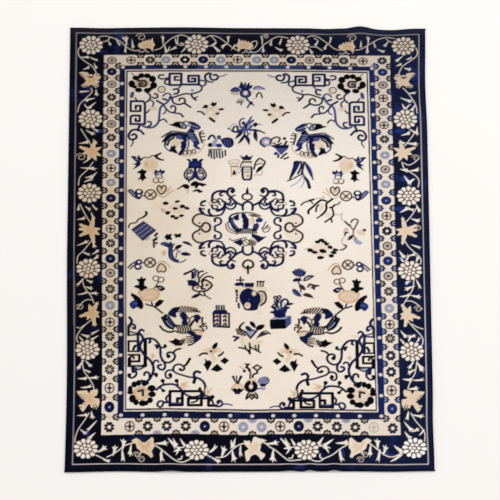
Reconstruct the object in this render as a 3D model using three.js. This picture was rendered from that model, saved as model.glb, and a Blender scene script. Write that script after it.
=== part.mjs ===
// A hand-knotted wool rug, six feet by nine, lying on the floor.
// It is one knotted fabric with a bound edge along each of its four sides. The rug was never quite
// square: its sides draw in a little, its far end is skewed, and its ends wave and lift here and there.
// Millimetres, +X across the rug, +Y along it to the far end, +Z up. The origin is on the floor
// below the middle of the rug's outline.

import * as THREE from "three";

// Driving dimensions
const WIDTH = 1830; // over the bound sides
const LENGTH = 2745; // over the bound ends
const FOUNDATION = 3; // cotton warps and wefts with the backs of the knots
const PILE = 8; // sheared wool above the foundation
const BINDING_WIDTH = 9; // overcast wool along every edge
const BINDING_HEIGHT = 10;
const BINDING_SIDES = 8; // faces round the bound edge
const GAP = 0.3; // clear space between neighbouring pieces
const FAR_END_SKEW = 7.5; // the far end's left corner reaches this much further, the right one less

// Each wave of an edge: the side it is on, the place along that side, half its length along the side,
// how far it runs in from the edge, how far it moves the edge outwards, and how far it lifts it.
const EDGE_WAVES = [
  { side: "left", at: -860, reach: 900, depth: 700, out: -8, lift: 0 },
  { side: "right", at: 1020, reach: 330, depth: 400, out: -5, lift: 0 },
  { side: "right", at: -1090, reach: 220, depth: 300, out: -3, lift: 0 },
  { side: "far", at: -740, reach: 140, depth: 120, out: -3, lift: 0 },
  { side: "far", at: -330, reach: 330, depth: 200, out: 4, lift: 0 },
  { side: "far", at: 400, reach: 100, depth: 90, out: -4, lift: 0 },
  { side: "far", at: 578, reach: 85, depth: 75, out: 7, lift: 9 },
  { side: "far", at: 730, reach: 140, depth: 110, out: -10, lift: 0 },
  { side: "near", at: -650, reach: 260, depth: 150, out: -5, lift: 0 },
  { side: "near", at: -392, reach: 90, depth: 80, out: -4, lift: 5 },
  { side: "near", at: 200, reach: 60, depth: 70, out: -3, lift: 4 },
  { side: "near", at: 301, reach: 42, depth: 70, out: -4, lift: 6 },
  { side: "near", at: 420, reach: 42, depth: 70, out: -4, lift: 6 },
  { side: "near", at: 700, reach: 200, depth: 150, out: 3, lift: 0 },
];

// Spacing of the lines that the surfaces are built on
const CROSS_PITCH = 122; // lines across the rug, where it is even
const LENGTH_PITCH = 305; // lines along the rug, where it is even
const CLOSEST_LINES = 9; // lines nearer to each other than this are one line
const WAVE_STEPS = [-1, -0.5, 0, 0.5, 1]; // lines over a wave, in shares of its reach
const DEPTH_STEPS = [15, 40, 75, 120, 190]; // lines in from an end, where the waves die away

// Wool colours
const IVORY = 0xdfd5c9; // the ground of the field
const NEAR_BLACK = 0x14131d; // the overcast edges

// Worked out from the driving dimensions
const HALF_WIDTH = WIDTH / 2;
const HALF_LENGTH = LENGTH / 2;
const THICKNESS = FOUNDATION + PILE;
const FABRIC_HALF_WIDTH = HALF_WIDTH - BINDING_WIDTH - GAP;
const FABRIC_HALF_LENGTH = HALF_LENGTH - BINDING_WIDTH - GAP;

// 1 in the middle, falling smoothly to 0 at a distance of 1
function bell(t) {
  return Math.abs(t) >= 1 ? 0 : (1 + Math.cos(Math.PI * t)) / 2;
}

// For each side: the way out, and the distance along it and in from it of a point of the flat rug
const SIDES = {
  left: { outX: -1, outY: 0, along: (x, y) => y, inward: (x) => HALF_WIDTH + x },
  right: { outX: 1, outY: 0, along: (x, y) => y, inward: (x) => HALF_WIDTH - x },
  near: { outX: 0, outY: -1, along: (x) => x, inward: (x, y) => HALF_LENGTH + y },
  far: { outX: 0, outY: 1, along: (x) => x, inward: (x, y) => HALF_LENGTH - y },
};

// Where a point of the true rectangle lies on the floor, and how far it is lifted
function lie(x, y) {
  const towardsFarEnd = (y + HALF_LENGTH) / LENGTH;
  const place = { x, y: y - (FAR_END_SKEW * towardsFarEnd * x) / HALF_WIDTH, lift: 0 };
  for (const wave of EDGE_WAVES) {
    const side = SIDES[wave.side];
    const share =
      bell((side.along(x, y) - wave.at) / wave.reach) * bell(side.inward(x, y) / wave.depth);
    place.x += side.outX * wave.out * share;
    place.y += side.outY * wave.out * share;
    place.lift += wave.lift * share;
  }
  return place;
}

// The given positions in order, without those that crowd the last one kept; both ends are kept
function spaced(positions, half) {
  const inside = positions.filter((p) => Math.abs(p) < half - CLOSEST_LINES).sort((a, b) => a - b);
  const kept = [-half];
  for (const position of inside) {
    if (position - kept[kept.length - 1] >= CLOSEST_LINES) kept.push(position);
  }
  return [...kept, half];
}

// Even lines from one edge to the other, with closer ones over each wave of the given sides
function waveLines(half, pitch, sideNames) {
  const count = Math.round((2 * half) / pitch);
  const even = Array.from({ length: count + 1 }, (_, i) => -half + (2 * half * i) / count);
  const waves = EDGE_WAVES.filter((wave) => sideNames.includes(wave.side));
  const close = waves.flatMap((wave) => WAVE_STEPS.map((step) => wave.at + step * wave.reach));
  return [...even, ...close];
}

function crossLines() {
  return spaced(waveLines(FABRIC_HALF_WIDTH, CROSS_PITCH, ["near", "far"]), FABRIC_HALF_WIDTH);
}

function lengthLines() {
  const half = FABRIC_HALF_LENGTH;
  const nearEnds = DEPTH_STEPS.flatMap((step) => [step - half, half - step]);
  return spaced([...waveLines(half, LENGTH_PITCH, ["left", "right"]), ...nearEnds], half);
}

function meshOf(name, positions, triangles, color, roughness) {
  const geometry = new THREE.BufferGeometry();
  geometry.setAttribute("position", new THREE.Float32BufferAttribute(positions, 3));
  geometry.setIndex(triangles);
  geometry.computeVertexNormals();
  const material = new THREE.MeshStandardMaterial({ color, roughness, metalness: 0 });
  const mesh = new THREE.Mesh(geometry, material);
  mesh.name = name;
  return mesh;
}

// The knotted fabric: a sheet of even thickness over the grid of lines, with its walls
function knottedFabric() {
  const xs = crossLines();
  const ys = lengthLines();
  const positions = [];
  for (const height of [0, THICKNESS]) {
    for (const y of ys) {
      for (const x of xs) {
        const place = lie(x, y);
        positions.push(place.x, place.y, place.lift + height);
      }
    }
  }
  const layer = xs.length * ys.length;
  const at = (column, row, top) => row * xs.length + column + (top ? layer : 0);
  const triangles = [];
  const quad = (a, b, c, d) => triangles.push(a, b, c, a, c, d);
  for (let row = 0; row < ys.length - 1; row++) {
    for (let column = 0; column < xs.length - 1; column++) {
      const corners = [
        [column, row],
        [column + 1, row],
        [column + 1, row + 1],
        [column, row + 1],
      ];
      quad(...corners.map(([c, r]) => at(c, r, true)));
      quad(...corners.reverse().map(([c, r]) => at(c, r, false)));
    }
  }
  const wall = (c0, r0, c1, r1) =>
    quad(at(c0, r0, false), at(c1, r1, false), at(c1, r1, true), at(c0, r0, true));
  const lastColumn = xs.length - 1;
  const lastRow = ys.length - 1;
  for (let column = 0; column < lastColumn; column++) {
    wall(column, 0, column + 1, 0);
    wall(column + 1, lastRow, column, lastRow);
  }
  for (let row = 0; row < lastRow; row++) {
    wall(lastColumn, row, lastColumn, row + 1);
    wall(0, row + 1, 0, row);
  }
  return meshOf("knotted_fabric", positions, triangles, IVORY, 0.95);
}

// The bound edge's section: distance out from its inner face, and height
function bindingSection() {
  const flatShare = Math.tan(Math.PI / BINDING_SIDES);
  return Array.from({ length: BINDING_SIDES }, (_, i) => {
    const angle = ((i + 0.5) * 2 * Math.PI) / BINDING_SIDES;
    const radius = Math.hypot(1, flatShare);
    return {
      out: (BINDING_WIDTH * (1 + radius * Math.cos(angle))) / 2,
      up: (BINDING_HEIGHT * (1 + radius * Math.sin(angle))) / 2,
    };
  });
}

// One bound edge: its section carried along the side through the given positions
function boundEdge(name, sideName, positionsAlong) {
  const side = SIDES[sideName];
  const section = bindingSection();
  const innerFace = side.outX !== 0 ? FABRIC_HALF_WIDTH + GAP : FABRIC_HALF_LENGTH + GAP;
  const positions = [];
  for (const along of positionsAlong) {
    for (const { out, up } of section) {
      const distance = innerFace + out;
      const x = side.outX !== 0 ? side.outX * distance : along;
      const y = side.outX !== 0 ? along : side.outY * distance;
      const place = lie(x, y);
      positions.push(place.x, place.y, place.lift + up);
    }
  }
  const rings = positionsAlong.length;
  const facesOut = side.outX > 0 || side.outY < 0;
  const triangles = [];
  const face = (a, b, c) => (facesOut ? triangles.push(a, c, b) : triangles.push(a, b, c));
  for (let ring = 0; ring < rings - 1; ring++) {
    for (let i = 0; i < BINDING_SIDES; i++) {
      const next = (i + 1) % BINDING_SIDES;
      const here = ring * BINDING_SIDES;
      const there = here + BINDING_SIDES;
      face(here + i, here + next, there + next);
      face(here + i, there + next, there + i);
    }
  }
  const lastRing = (rings - 1) * BINDING_SIDES;
  for (let i = 1; i < BINDING_SIDES - 1; i++) {
    face(0, i + 1, i);
    face(lastRing, lastRing + i, lastRing + i + 1);
  }
  return meshOf(name, positions, triangles, NEAR_BLACK, 0.9);
}

// The side bindings run past the ends of the fabric; the end bindings stop between them
const sideLines = [-HALF_LENGTH, ...lengthLines(), HALF_LENGTH];
const rug = new THREE.Group();
rug.add(
  knottedFabric(),
  boundEdge("bound_side_left", "left", sideLines),
  boundEdge("bound_side_right", "right", sideLines),
  boundEdge("bound_end_near", "near", crossLines()),
  boundEdge("bound_end_far", "far", crossLines()),
);

// Centre the outline over the origin
const middle = new THREE.Box3().setFromObject(rug).getCenter(new THREE.Vector3());
rug.position.set(-middle.x, -middle.y, 0);

const part = new THREE.Group();
part.add(rug);

export default part;
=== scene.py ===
# %% [markdown]
# # An antique wool rug in indigo and ivory
# This script dresses a hand-knotted wool rug, six feet by nine, that lies flat on a pale floor. Its
# solid comes from the CAD model; here it gets its pile, its pattern, its bound edges and its wool.
# The cells go in the order of the weaver's work: the model and the eye, the cartoon that holds the
# pattern, the pile knotted from it, the edges, the dyes and wear of the wool, and the light.

# %% Load the model
import copy
import math

import bpy
import numpy as np
from mathutils import Matrix


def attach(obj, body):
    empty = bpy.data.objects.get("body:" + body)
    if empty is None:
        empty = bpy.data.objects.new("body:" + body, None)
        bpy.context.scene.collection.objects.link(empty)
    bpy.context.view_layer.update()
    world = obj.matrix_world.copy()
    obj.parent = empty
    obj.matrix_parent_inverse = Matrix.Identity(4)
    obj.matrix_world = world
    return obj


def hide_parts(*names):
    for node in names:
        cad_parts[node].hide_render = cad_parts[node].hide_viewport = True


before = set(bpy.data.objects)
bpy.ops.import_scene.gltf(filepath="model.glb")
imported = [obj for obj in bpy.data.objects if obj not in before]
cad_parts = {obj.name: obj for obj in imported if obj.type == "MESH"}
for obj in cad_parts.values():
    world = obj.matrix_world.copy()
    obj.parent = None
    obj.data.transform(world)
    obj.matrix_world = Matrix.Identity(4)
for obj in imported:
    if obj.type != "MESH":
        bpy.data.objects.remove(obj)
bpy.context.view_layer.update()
print("nodes", sorted(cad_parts))

# %% [markdown]
# ## The eye and the floor
# The photograph looks down at the rug from its near end. A camera can be placed by guesswork, or it can
# be solved from the four corners of a rectangle whose size is known. The corners taper very little, so
# the eye is far away and its lens is long. The same few values carry a pixel of the photograph down
# to the floor, which is how every motif finds its place.

# %% Sizes of the rug and the place of the eye
WIDTH = 1.830
LENGTH = 2.745
FOUNDATION = 0.003
PILE = 0.008
BINDING_WIDTH = 0.009
BINDING_HEIGHT = 0.010

PHOTO_SIDE = 500
SENSOR = 36.0
EYE_ELEVATION = math.radians(54.58)
EYE_DISTANCE = 36.0
EYE_ROLL = -0.0036
AIM = np.array([0.0077, -0.0275, 0.0])
PIXELS_PER_SLOPE = 7139.0

BACK = np.array([0.0, -math.cos(EYE_ELEVATION), math.sin(EYE_ELEVATION)])
EYE = AIM + BACK * EYE_DISTANCE


def eye_axes():
    """The directions right and up in the picture, after the small roll."""
    right = np.array([1.0, 0.0, 0.0])
    up = np.cross(right, -BACK)
    c, s = math.cos(EYE_ROLL), math.sin(EYE_ROLL)
    return c * right + s * up, c * up - s * right


print("eye", [round(float(v), 2) for v in EYE], "metres from the middle of the rug")

# %% How the rug lies
FAR_END_SKEW = 0.0075
EDGE_WAVES = [
    # side, place along it, reach, depth inwards, outwards, lift; in millimetres
    ("left", -860, 900, 700, -8, 0),
    ("right", 1020, 330, 400, -5, 0),
    ("right", -1090, 220, 300, -3, 0),
    ("far", -740, 140, 120, -3, 0),
    ("far", -330, 330, 200, 4, 0),
    ("far", 400, 100, 90, -4, 0),
    ("far", 578, 85, 75, 7, 9),
    ("far", 730, 140, 110, -10, 0),
    ("near", -650, 260, 150, -5, 0),
    ("near", -392, 90, 80, -4, 5),
    ("near", 200, 60, 70, -3, 4),
    ("near", 301, 42, 70, -4, 6),
    ("near", 420, 42, 70, -4, 6),
    ("near", 700, 200, 150, 3, 0),
]
OUTWARD = {"left": (-1, 0), "right": (1, 0), "far": (0, 1), "near": (0, -1)}
# the waves are only millimetres deep, so three steps back through them are enough
STEPS_BACK = 3


def bell(t):
    """One at zero, falling softly to nothing at one."""
    return np.where(np.abs(t) < 1, (1 + np.cos(np.pi * np.clip(t, -1, 1))) / 2, 0)


def lie(x, y):
    """Where a place of the squarely woven rug comes to lie, and how far it lifts off the floor."""
    moved = [x, y - FAR_END_SKEW * (y + LENGTH / 2) / LENGTH * x / (WIDTH / 2)]
    lift = np.zeros_like(x)
    for side, at, reach, depth, out, rise in EDGE_WAVES:
        ox, oy = OUTWARD[side]
        along = x if ox == 0 else y
        inward = (WIDTH / 2 - ox * x) if oy == 0 else (LENGTH / 2 - oy * y)
        share = bell((along - at / 1000) / (reach / 1000)) * bell(inward / (depth / 1000))
        moved[0] = moved[0] + ox * out / 1000 * share
        moved[1] = moved[1] + oy * out / 1000 * share
        lift = lift + rise / 1000 * share
    return moved[0], moved[1], lift


def on_rug(px, py, height=FOUNDATION + PILE):
    """The place on the woven rug, in metres from its middle, that a pixel of the photograph shows."""
    px, py = np.asarray(px, float), np.asarray(py, float)
    right, up = eye_axes()
    half = PHOTO_SIDE / 2
    ray = (px[..., None] - half) * right - (py[..., None] - half) * up - PIXELS_PER_SLOPE * BACK
    place = (EYE + (height - EYE[2]) / ray[..., 2:] * ray)[..., :2]
    x, y = place[..., 0], place[..., 1]
    for _ in range(STEPS_BACK):
        moved_x, moved_y, lift = lie(x, y)
        x, y = x + place[..., 0] - moved_x, y + place[..., 1] - moved_y
    return np.stack([x, y], -1)


print("the photograph's middle lies at", on_rug(PHOTO_SIDE / 2, PHOTO_SIDE / 2).round(3))

# %% [markdown]
# ## The weaver's cartoon
# A rug like this is knotted from a cartoon, a drawing on squared paper, with one small square for each
# knot. The pattern could be shader maths, but some two hundred traditional motifs would make a graph
# that nobody can read, and an image texture would be a picture of a rug and not a rug. So the script
# draws the cartoon itself, on a grid of inks three times finer than the knots, and each knot takes the
# mean of its nine fine squares. Real wool does the same: pile at an edge mingles with its neighbours.
#
# Motifs stand where the photograph shows them. Their places are named in its pixels and are carried
# down to the floor through the camera, so the numbers can be checked against the picture. Inside a
# motif, a distance is counted in squares right of and below its middle. A square is about one pixel of
# the photograph: five millimetres across the rug and six along it.

# %% The cartoon's grid and inks
KNOT = 0.00366
FINE = 3
KNOTS_ACROSS = round(WIDTH / KNOT)
KNOTS_ALONG = round(LENGTH / KNOT)
FINE_STEP = KNOT / FINE
SQUARE_ACROSS = 0.00506
SQUARE_ALONG = 0.00619

# the colours of the wool as a screen shows them
INKS = {
    "ivory": (242, 232, 221),
    "cream": (240, 230, 219),
    "white": (251, 247, 243),
    "ground": (232, 219, 206),
    "pearl": (210, 199, 198),
    "petal": (228, 203, 175),
    "tan": (216, 182, 148),
    "sand": (228, 207, 186),
    "camel": (196, 168, 142),
    "linen": (198, 184, 170),
    "ash": (150, 145, 150),
    "rose": (214, 184, 170),
    "blush": (232, 214, 203),
    "haze": (234, 220, 203),
    "brown": (98, 76, 64),
    "umber": (52, 40, 40),
    "black": (8, 8, 13),
    "night": (9, 10, 22),
    "band": (12, 13, 27),
    "guard": (18, 23, 52),
    "deep": (19, 30, 76),
    "navy": (18, 22, 60),
    "royal": (28, 44, 104),
    "denim": (44, 54, 90),
    "steel": (68, 84, 120),
    "slate": (70, 78, 128),
    "mist": (158, 164, 190),
}
# dark pile leans over its pale neighbours, so a dark stroke is knotted wider than it is drawn
DARK_INKS = ("brown", "umber", "black", "night", "navy", "royal", "slate")
SPREAD = 0.36

INK_NUMBER = {name: number for number, name in enumerate(INKS)}
cartoon = np.zeros(((KNOTS_ALONG + 1) * FINE, (KNOTS_ACROSS + 1) * FINE), np.uint8)
print("cartoon", KNOTS_ACROSS, "by", KNOTS_ALONG, "knots,", len(INKS), "inks")


# %% Drawing on the fine squares
def column_of(x):
    """The fine column, with its fraction, of a distance right of the rug's middle."""
    return (x + WIDTH / 2) / FINE_STEP + (FINE - 1) / 2


def row_of(y):
    """The fine row, counted from the near end, of a distance beyond the rug's middle."""
    return (y + LENGTH / 2) / FINE_STEP + (FINE - 1) / 2


def window(low, high):
    """The part of the cartoon between two corners, and the places of its squares."""
    rows, columns = cartoon.shape
    c0 = max(int(np.floor(column_of(low[0]))) - 1, 0)
    c1 = min(int(np.ceil(column_of(high[0]))) + 2, columns)
    r0 = max(int(np.floor(row_of(low[1]))) - 1, 0)
    r1 = min(int(np.ceil(row_of(high[1]))) + 2, rows)
    if c0 >= c1 or r0 >= r1:
        return None
    xs = (np.arange(c0, c1) - (FINE - 1) / 2) * FINE_STEP - WIDTH / 2
    ys = (np.arange(r0, r1) - (FINE - 1) / 2) * FINE_STEP - LENGTH / 2
    return cartoon[r0:r1, c0:c1], xs[None, :], ys[:, None]


def ink_polygon(ink, *outlines):
    """Fills a closed outline, by counting how often a ray crosses it; a second outline is a hole."""
    everything = np.concatenate(outlines)
    seen = window(everything.min(0), everything.max(0))
    if seen is None:
        return
    part, x, y = seen
    inside = np.zeros(part.shape, bool)
    for points in outlines:
        for (ax, ay), (bx, by) in zip(points, np.roll(points, -1, 0)):
            if ay == by:
                continue
            crosses = (y < ay) != (y < by)
            inside ^= crosses & (x < ax + (y - ay) * (bx - ax) / (by - ay))
    part[inside] = INK_NUMBER[ink]


def ink_stroke(ink, points, radii):
    """Draws a line of round strokes whose half-width changes along it."""
    for a, b, ra, rb in zip(points[:-1], points[1:], radii[:-1], radii[1:]):
        reach = max(ra, rb)
        seen = window(np.minimum(a, b) - reach, np.maximum(a, b) + reach)
        if seen is None:
            continue
        part, x, y = seen
        along = b - a
        length = max(float(along @ along), 1e-12)
        t = np.clip(((x - a[0]) * along[0] + (y - a[1]) * along[1]) / length, 0, 1)
        gap = np.hypot(x - a[0] - t * along[0], y - a[1] - t * along[1])
        part[gap <= ra + (rb - ra) * t] = INK_NUMBER[ink]


def smooth(points, closed, steps=5):
    """A soft line through the points, each stretch a cubic between its two neighbours."""
    count = len(points)
    if count < 3:
        return points
    if closed:
        before, start, end, after = (np.roll(points, k, 0) for k in (1, 0, -1, -2))
    else:
        padded = np.concatenate([points[:1], points, points[-1:]])
        before, start, end, after = (padded[k : k + count - 1] for k in range(4))
    t = np.linspace(0, 1, steps, endpoint=False)[None, :, None]
    b, s, e, a = (p[:, None] for p in (before, start, end, after))
    curve = s + 0.5 * t * (e - b + t * (2 * b - 5 * s + 4 * e - a + t * (3 * (s - e) + a - b)))
    curve = curve.reshape(-1, 2)
    return curve if closed else np.concatenate([curve, points[-1:]])


print("a fine square is", round(1000 * FINE_STEP, 2), "millimetres wide")

# %% A pen that draws one motif
OVAL_POINTS = 20
LEAF_POINTS = 9
CURL_POINTS_PER_TURN = 14


class Pen:
    """Draws in squares right of and below a motif's middle, which is a place in the photograph."""

    def __init__(self, px, py, size=1.0, turn=0.0, mirror=False):
        self.middle = on_rug(px, py)
        self.size = size
        self.turn = np.radians(turn)
        self.flip = (-1 if mirror else 1, 1)
        self.corner = (0, 0)
        self.step = 1.0

    def near(self, x, y):
        """The same pen on a finer grid: half squares, right of and below a corner near the motif."""
        fine = copy.copy(self)
        fine.corner = (x, y)
        fine.step = 0.5
        return fine

    def places(self, squares):
        """Places on the rug, from numbers that go across and down by turns."""
        p = (np.reshape(squares, (-1, 2)) * self.step + self.corner) * self.flip * self.size
        p = p * (SQUARE_ACROSS, -SQUARE_ALONG)
        c, s = np.cos(self.turn), np.sin(self.turn)
        return self.middle + p @ np.array([[c, s], [-s, c]])

    def spread(self, ink):
        """How much wider a stroke of this ink comes out, in squares."""
        return SPREAD / self.size if ink in DARK_INKS else 0

    def half(self, ink, width):
        """Half the width of a stroke, in metres."""
        return (width + self.spread(ink)) * SQUARE_ACROSS * self.size / 2

    def fill(self, ink, *squares, soft=True):
        """Fills an outline that bends softly through its places."""
        points = self.places(squares)
        points = smooth(points, True) if soft else points
        ink_polygon(ink, points)
        if ink in DARK_INKS:
            rim = np.concatenate([points, points[:1]])
            ink_stroke(ink, rim, np.full(len(rim), self.half(ink, 0)))

    def line(self, ink, width, *squares, end=None, soft=True, closed=False):
        """A stroke that bends softly through its places; end is its width where it stops."""
        points = self.places(squares)
        if closed and not soft:
            points = np.concatenate([points, points[:1]])
        if soft:
            points = smooth(points, closed)
            if closed:
                points = np.concatenate([points, points[:1]])
        last = self.half(ink, width if end is None else end)
        ink_stroke(ink, points, np.linspace(self.half(ink, width), last, len(points)))

    def facet(self, ink, *squares):
        """A filled outline that keeps its corners."""
        self.fill(ink, *squares, soft=False)

    def straight(self, ink, width, *squares, end=None):
        """A stroke that keeps its corners."""
        self.line(ink, width, *squares, end=end, soft=False)

    def rim(self, x, y, rx, ry):
        """Places round an oval, which is a circle on the rug if only one half size is given."""
        ry = rx * SQUARE_ACROSS / SQUARE_ALONG if ry is None else ry
        a = np.linspace(0, 2 * np.pi, OVAL_POINTS, endpoint=False)
        return np.stack([x + rx * np.cos(a), y + ry * np.sin(a)], 1)

    def oval(self, ink, x, y, rx, ry=None):
        ink_polygon(ink, self.places(self.rim(x, y, rx, ry)))

    def ring(self, ink, width, x, y, rx, ry=None):
        self.line(ink, width, *self.rim(x, y, rx, ry).ravel(), closed=True, soft=False)

    def leaf(self, ink, width, x0, y0, x1, y1, bend=0.0):
        """A pointed leaf from one place to another, widest before its middle."""
        across = np.array([y0 - y1, x1 - x0])
        t = np.linspace(0, 1, LEAF_POINTS)[:, None]
        spine = (1 - t) * (x0, y0) + t * (x1, y1) + bend * np.sin(np.pi * t) * across
        profile = np.sin(np.pi * t.ravel() ** 0.8) ** 0.8
        ink_stroke(ink, self.places(spine), self.half(ink, width) * np.maximum(profile, 0.12))

    def curl(self, ink, width, x, y, radius, start, turns, inner):
        """A spiral round a middle, from its outer end inwards; angles are clockwise in the view."""
        count = int(turns * CURL_POINTS_PER_TURN)
        t = np.linspace(0, 1, count)
        a = np.radians(start + 360 * turns * t)
        r = radius * (1 - (1 - inner) * t)
        lift = SQUARE_ACROSS / SQUARE_ALONG
        spiral = np.stack([x + r * np.cos(a), y + r * lift * np.sin(a)], 1)
        self.line(ink, width, *spiral.ravel(), soft=False)


class PhotoPen(Pen):
    """Draws with places counted in the photograph's own pixels, which a fold may mirror."""

    def __init__(self, fold=None, down=0.0, fold_row=None):
        super().__init__(0, 0)
        self.fold = fold
        self.fold_row = fold_row
        self.down = down

    def places(self, squares):
        pixels = np.reshape(squares, (-1, 2)) * self.step + self.corner
        across = pixels[:, 0] if self.fold is None else 2 * self.fold - pixels[:, 0]
        along = pixels[:, 1] if self.fold_row is None else 2 * self.fold_row - pixels[:, 1]
        return on_rug(across, along + self.down)


bare = PhotoPen()


def drawn(motif):
    """Says that a motif is drawn, and how much of the cartoon is still ivory."""
    ivory = float((cartoon == INK_NUMBER["ivory"]).mean())
    print(motif, "drawn,", round(100 * ivory, 1), "percent still ivory")


drawn("blank cartoon")

# %% [markdown]
# ## The border's motifs
# Borders repeat a few motifs all the way round: pearls, small rosettes, round lotus flowers, tan
# blossoms and forked leaves on a waving vine. Each one is a function of its place, so the repeats stay
# alike. The sorts of rosette follow the photograph. The half flowers between them are too small to
# tell apart there, so a seeded draw picks their sort.

# %% Pearls and rosettes
# rosettes are woven taller towards the near end; heights go with the photograph's rows
ROSETTE_ROWS = (60, 230, 350, 410)
ROSETTE_HEIGHTS = (0.92, 1.03, 1.17, 1.27)
ROSETTE_ROUND = 0.82


def pearl(px, py):
    """A cream dot of the blue guard stripe."""
    pen = Pen(px, py)
    pen.oval("pearl", 0, 0, 2.0)
    pen.oval("ground", -0.2, -0.2, 0.9)


def rosette(px, py, sort):
    """A small round flower, in one of the sorts that the border mixes."""
    pen = Pen(px, py)
    tall = ROSETTE_ROUND * np.interp(py, ROSETTE_ROWS, ROSETTE_HEIGHTS)
    angles = np.radians(np.arange(8) * 45 + 22.5)

    def disc(ink, reach):
        pen.oval(ink, 0, 0, reach, tall * reach)

    def dots(ink, reach, size, step=1):
        for a in angles[::step]:
            pen.oval(ink, reach * np.cos(a), tall * reach * np.sin(a), size, 0.9 * size)

    if sort in ("solid", "blue"):
        disc("night" if sort == "solid" else "navy", 5.2)
        disc("navy" if sort == "solid" else "royal", 3.6)
        disc("mist", 1.0)
    elif sort == "pale":
        disc("mist", 5.0)
        dots("ash", 3.7, 1.2)
        disc("cream", 1.0)
    elif sort == "ring":
        disc("brown", 5.1)
        disc("ash", 3.8)
        dots("linen", 2.8, 0.9)
        disc("umber", 1.3)
    elif sort == "dots":
        disc("linen", 4.5)
        dots("night", 3.8, 1.35)
        dots("night", 2.2, 0.75)
    elif sort == "wreath":
        disc("linen", 4.2)
        dots("night", 3.8, 1.55)
        dots("night", 2.5, 1.0)
        disc("cream", 1.5)
    else:
        rim, mark = ("linen", "linen") if sort == "faint" else ("brown", "umber")
        disc(rim, 5.2)
        disc("ground", 3.9)
        for a in angles[::2] - np.radians(22.5):
            pen.straight(mark, 1.2, 0, 0, 3.0 * np.cos(a), 3.4 * tall * np.sin(a))
        disc(mark, 1.8)


def half_rosette(px, py, turn, sort):
    """The half flower between two rosettes, cut off by the stripe's edge; turn faces it inwards."""
    pen = Pen(px, py, size=1.06, turn=turn)
    if sort == "pale":
        pen.oval("mist", 0, 0, 4.4, 3.6)
        pen.oval("ash", 0, 0.2, 2.6, 2.0)
        return
    pen.oval("mist" if sort == "navy" else "linen", 0, 0, 3.5, 3.0)
    for angle in (0, 45, 90, 135, 180):
        a = np.radians(angle)
        pen.oval(sort, 3.1 * np.cos(a), 3.0 * np.sin(a), 1.25, 1.15)
    pen.oval(sort, 0, 0.2, 1.0, 0.9)


print("rosettes are woven", ROSETTE_HEIGHTS[0], "to", ROSETTE_HEIGHTS[-1], "of their usual height")

# %% Lotus flowers of the main border
PETAL_HEIGHT = 0.81


def petals(pen, ink, count, inner, outer, start=0.0):
    """A ring of round-tipped petals, drawn as wedges that leave a thin dark line between them."""
    wedge = ((inner, -0.5), (0.9 * outer, -0.72), (outer, 0), (0.9 * outer, 0.72), (inner, 0.5))
    for k in range(count):
        middle = start + 2 * np.pi * k / count
        places = []
        for reach, aside in wedge:
            angle = middle + aside * np.pi / count
            places += [reach * np.cos(angle), PETAL_HEIGHT * reach * np.sin(angle)]
        pen.fill(ink, *places)


def lotus(px, py, turn=0.0, ink="cream"):
    """A round lotus: a ring of petals round a smaller ring, on a dark ground that outlines them."""
    pen = Pen(px, py, turn=turn)
    pen.oval("night", 0, 0, 12.6, 10.2)
    pen.oval("brown", 0, 0, 10.4, 8.4)
    petals(pen, ink, 12, 7.0, 12.0, 0.26)
    petals(pen, ink, 6, 2.7, 5.7, 0.2)
    pen.oval(ink, -0.3, 0.1, 1.5, 1.2)


print("a ring of petals is", PETAL_HEIGHT, "as tall as it is wide, in squares")

# %% Blossoms of the main border
FAR_BLOSSOM = [
    -9.5, -0.6, -8.2, -3.2, -6.6, -2.2, -4.6, -5.2, -3.4, -3.4, -1.6, -6.2, -0.5, -4.2, 1.6, -6.6,
    2.6, -4.6, 5.2, -8.0, 5.8, -4.0, 7.8, -0.2, 6.2, 1.4, 5.6, 6.6, 3.2, 3.0, -0.4, 2.6, -3.6, 3.6,
    -7.0, 2.8, -9.2, 1.2,
]
NEAR_BLOSSOM = [
    -10.4, -8.8, -7.1, -8.0, -5.0, -8.6, -3.4, -5.1, -2.1, -8.4, -1.3, -11.5, 0.8, -12.2, 4.2, -10.6,
    7.9, -10.0, 12.1, -8.4, 7.9, -7.2, 5.4, -5.2, 6.2, -2.6, 5.0, 0.8, 6.7, 2.6, 10.4, 4.5, 9.6, 7.0,
    6.2, 10.4, 4.6, 7.4, 2.5, 5.4, 0, 4.5, -3.8, 6.6, -5.4, 10.4, -7.9, 11.6, -9.0, 7.4, -9.6, 2.4,
    -7.9, 0.8, -5.6, -0.5, -7.9, -3.0, -10.2, -5.1,
]
NEAR_STAR = [
    -12.9, -6.1, -8.4, -8.4, -4.6, -6.4, -2.4, -4.2, 0.6, -4.0, 3.6, -6.1, 7.1, -9.2, 9.2, -7.6,
    9.0, -2.6, 9.8, 0.4, 7.1, 4.2, 8.8, 9.4, 6.6, 10.9, 4.1, 8.2, 1.1, 6.6, -2.4, 5.4, -4.9, 9.6,
    -3.8, 4.2, -7.4, 1.4, -8.4, -2.6, -11.4, -4.0,
]
SIDE_BLOSSOM = [
    -11.4, -8.4, -7.9, -9.2, -2.9, -8.4, -0.8, -6.1, -0.6, -3.6, 3.2, -3.8, 4.2, -6.9, 5.6, -8.6, 8.8, -7.1,
    10.9, -4.0, 9.4, -1.5, 6.7, -0.7, 9.8, 1.0, 7.4, 2.5, 9.4, 4.5, 7.8, 6.6, 5.6, 7.4, 3.8, 5.4, 0.9, 3.7,
    -2.4, 6.4, -6.6, 7.4, -9.3, 4.9, -6.0, 2.7, -3.9, 0.2, -6.2, -2.6, -9.9, -5.3,
]
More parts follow.
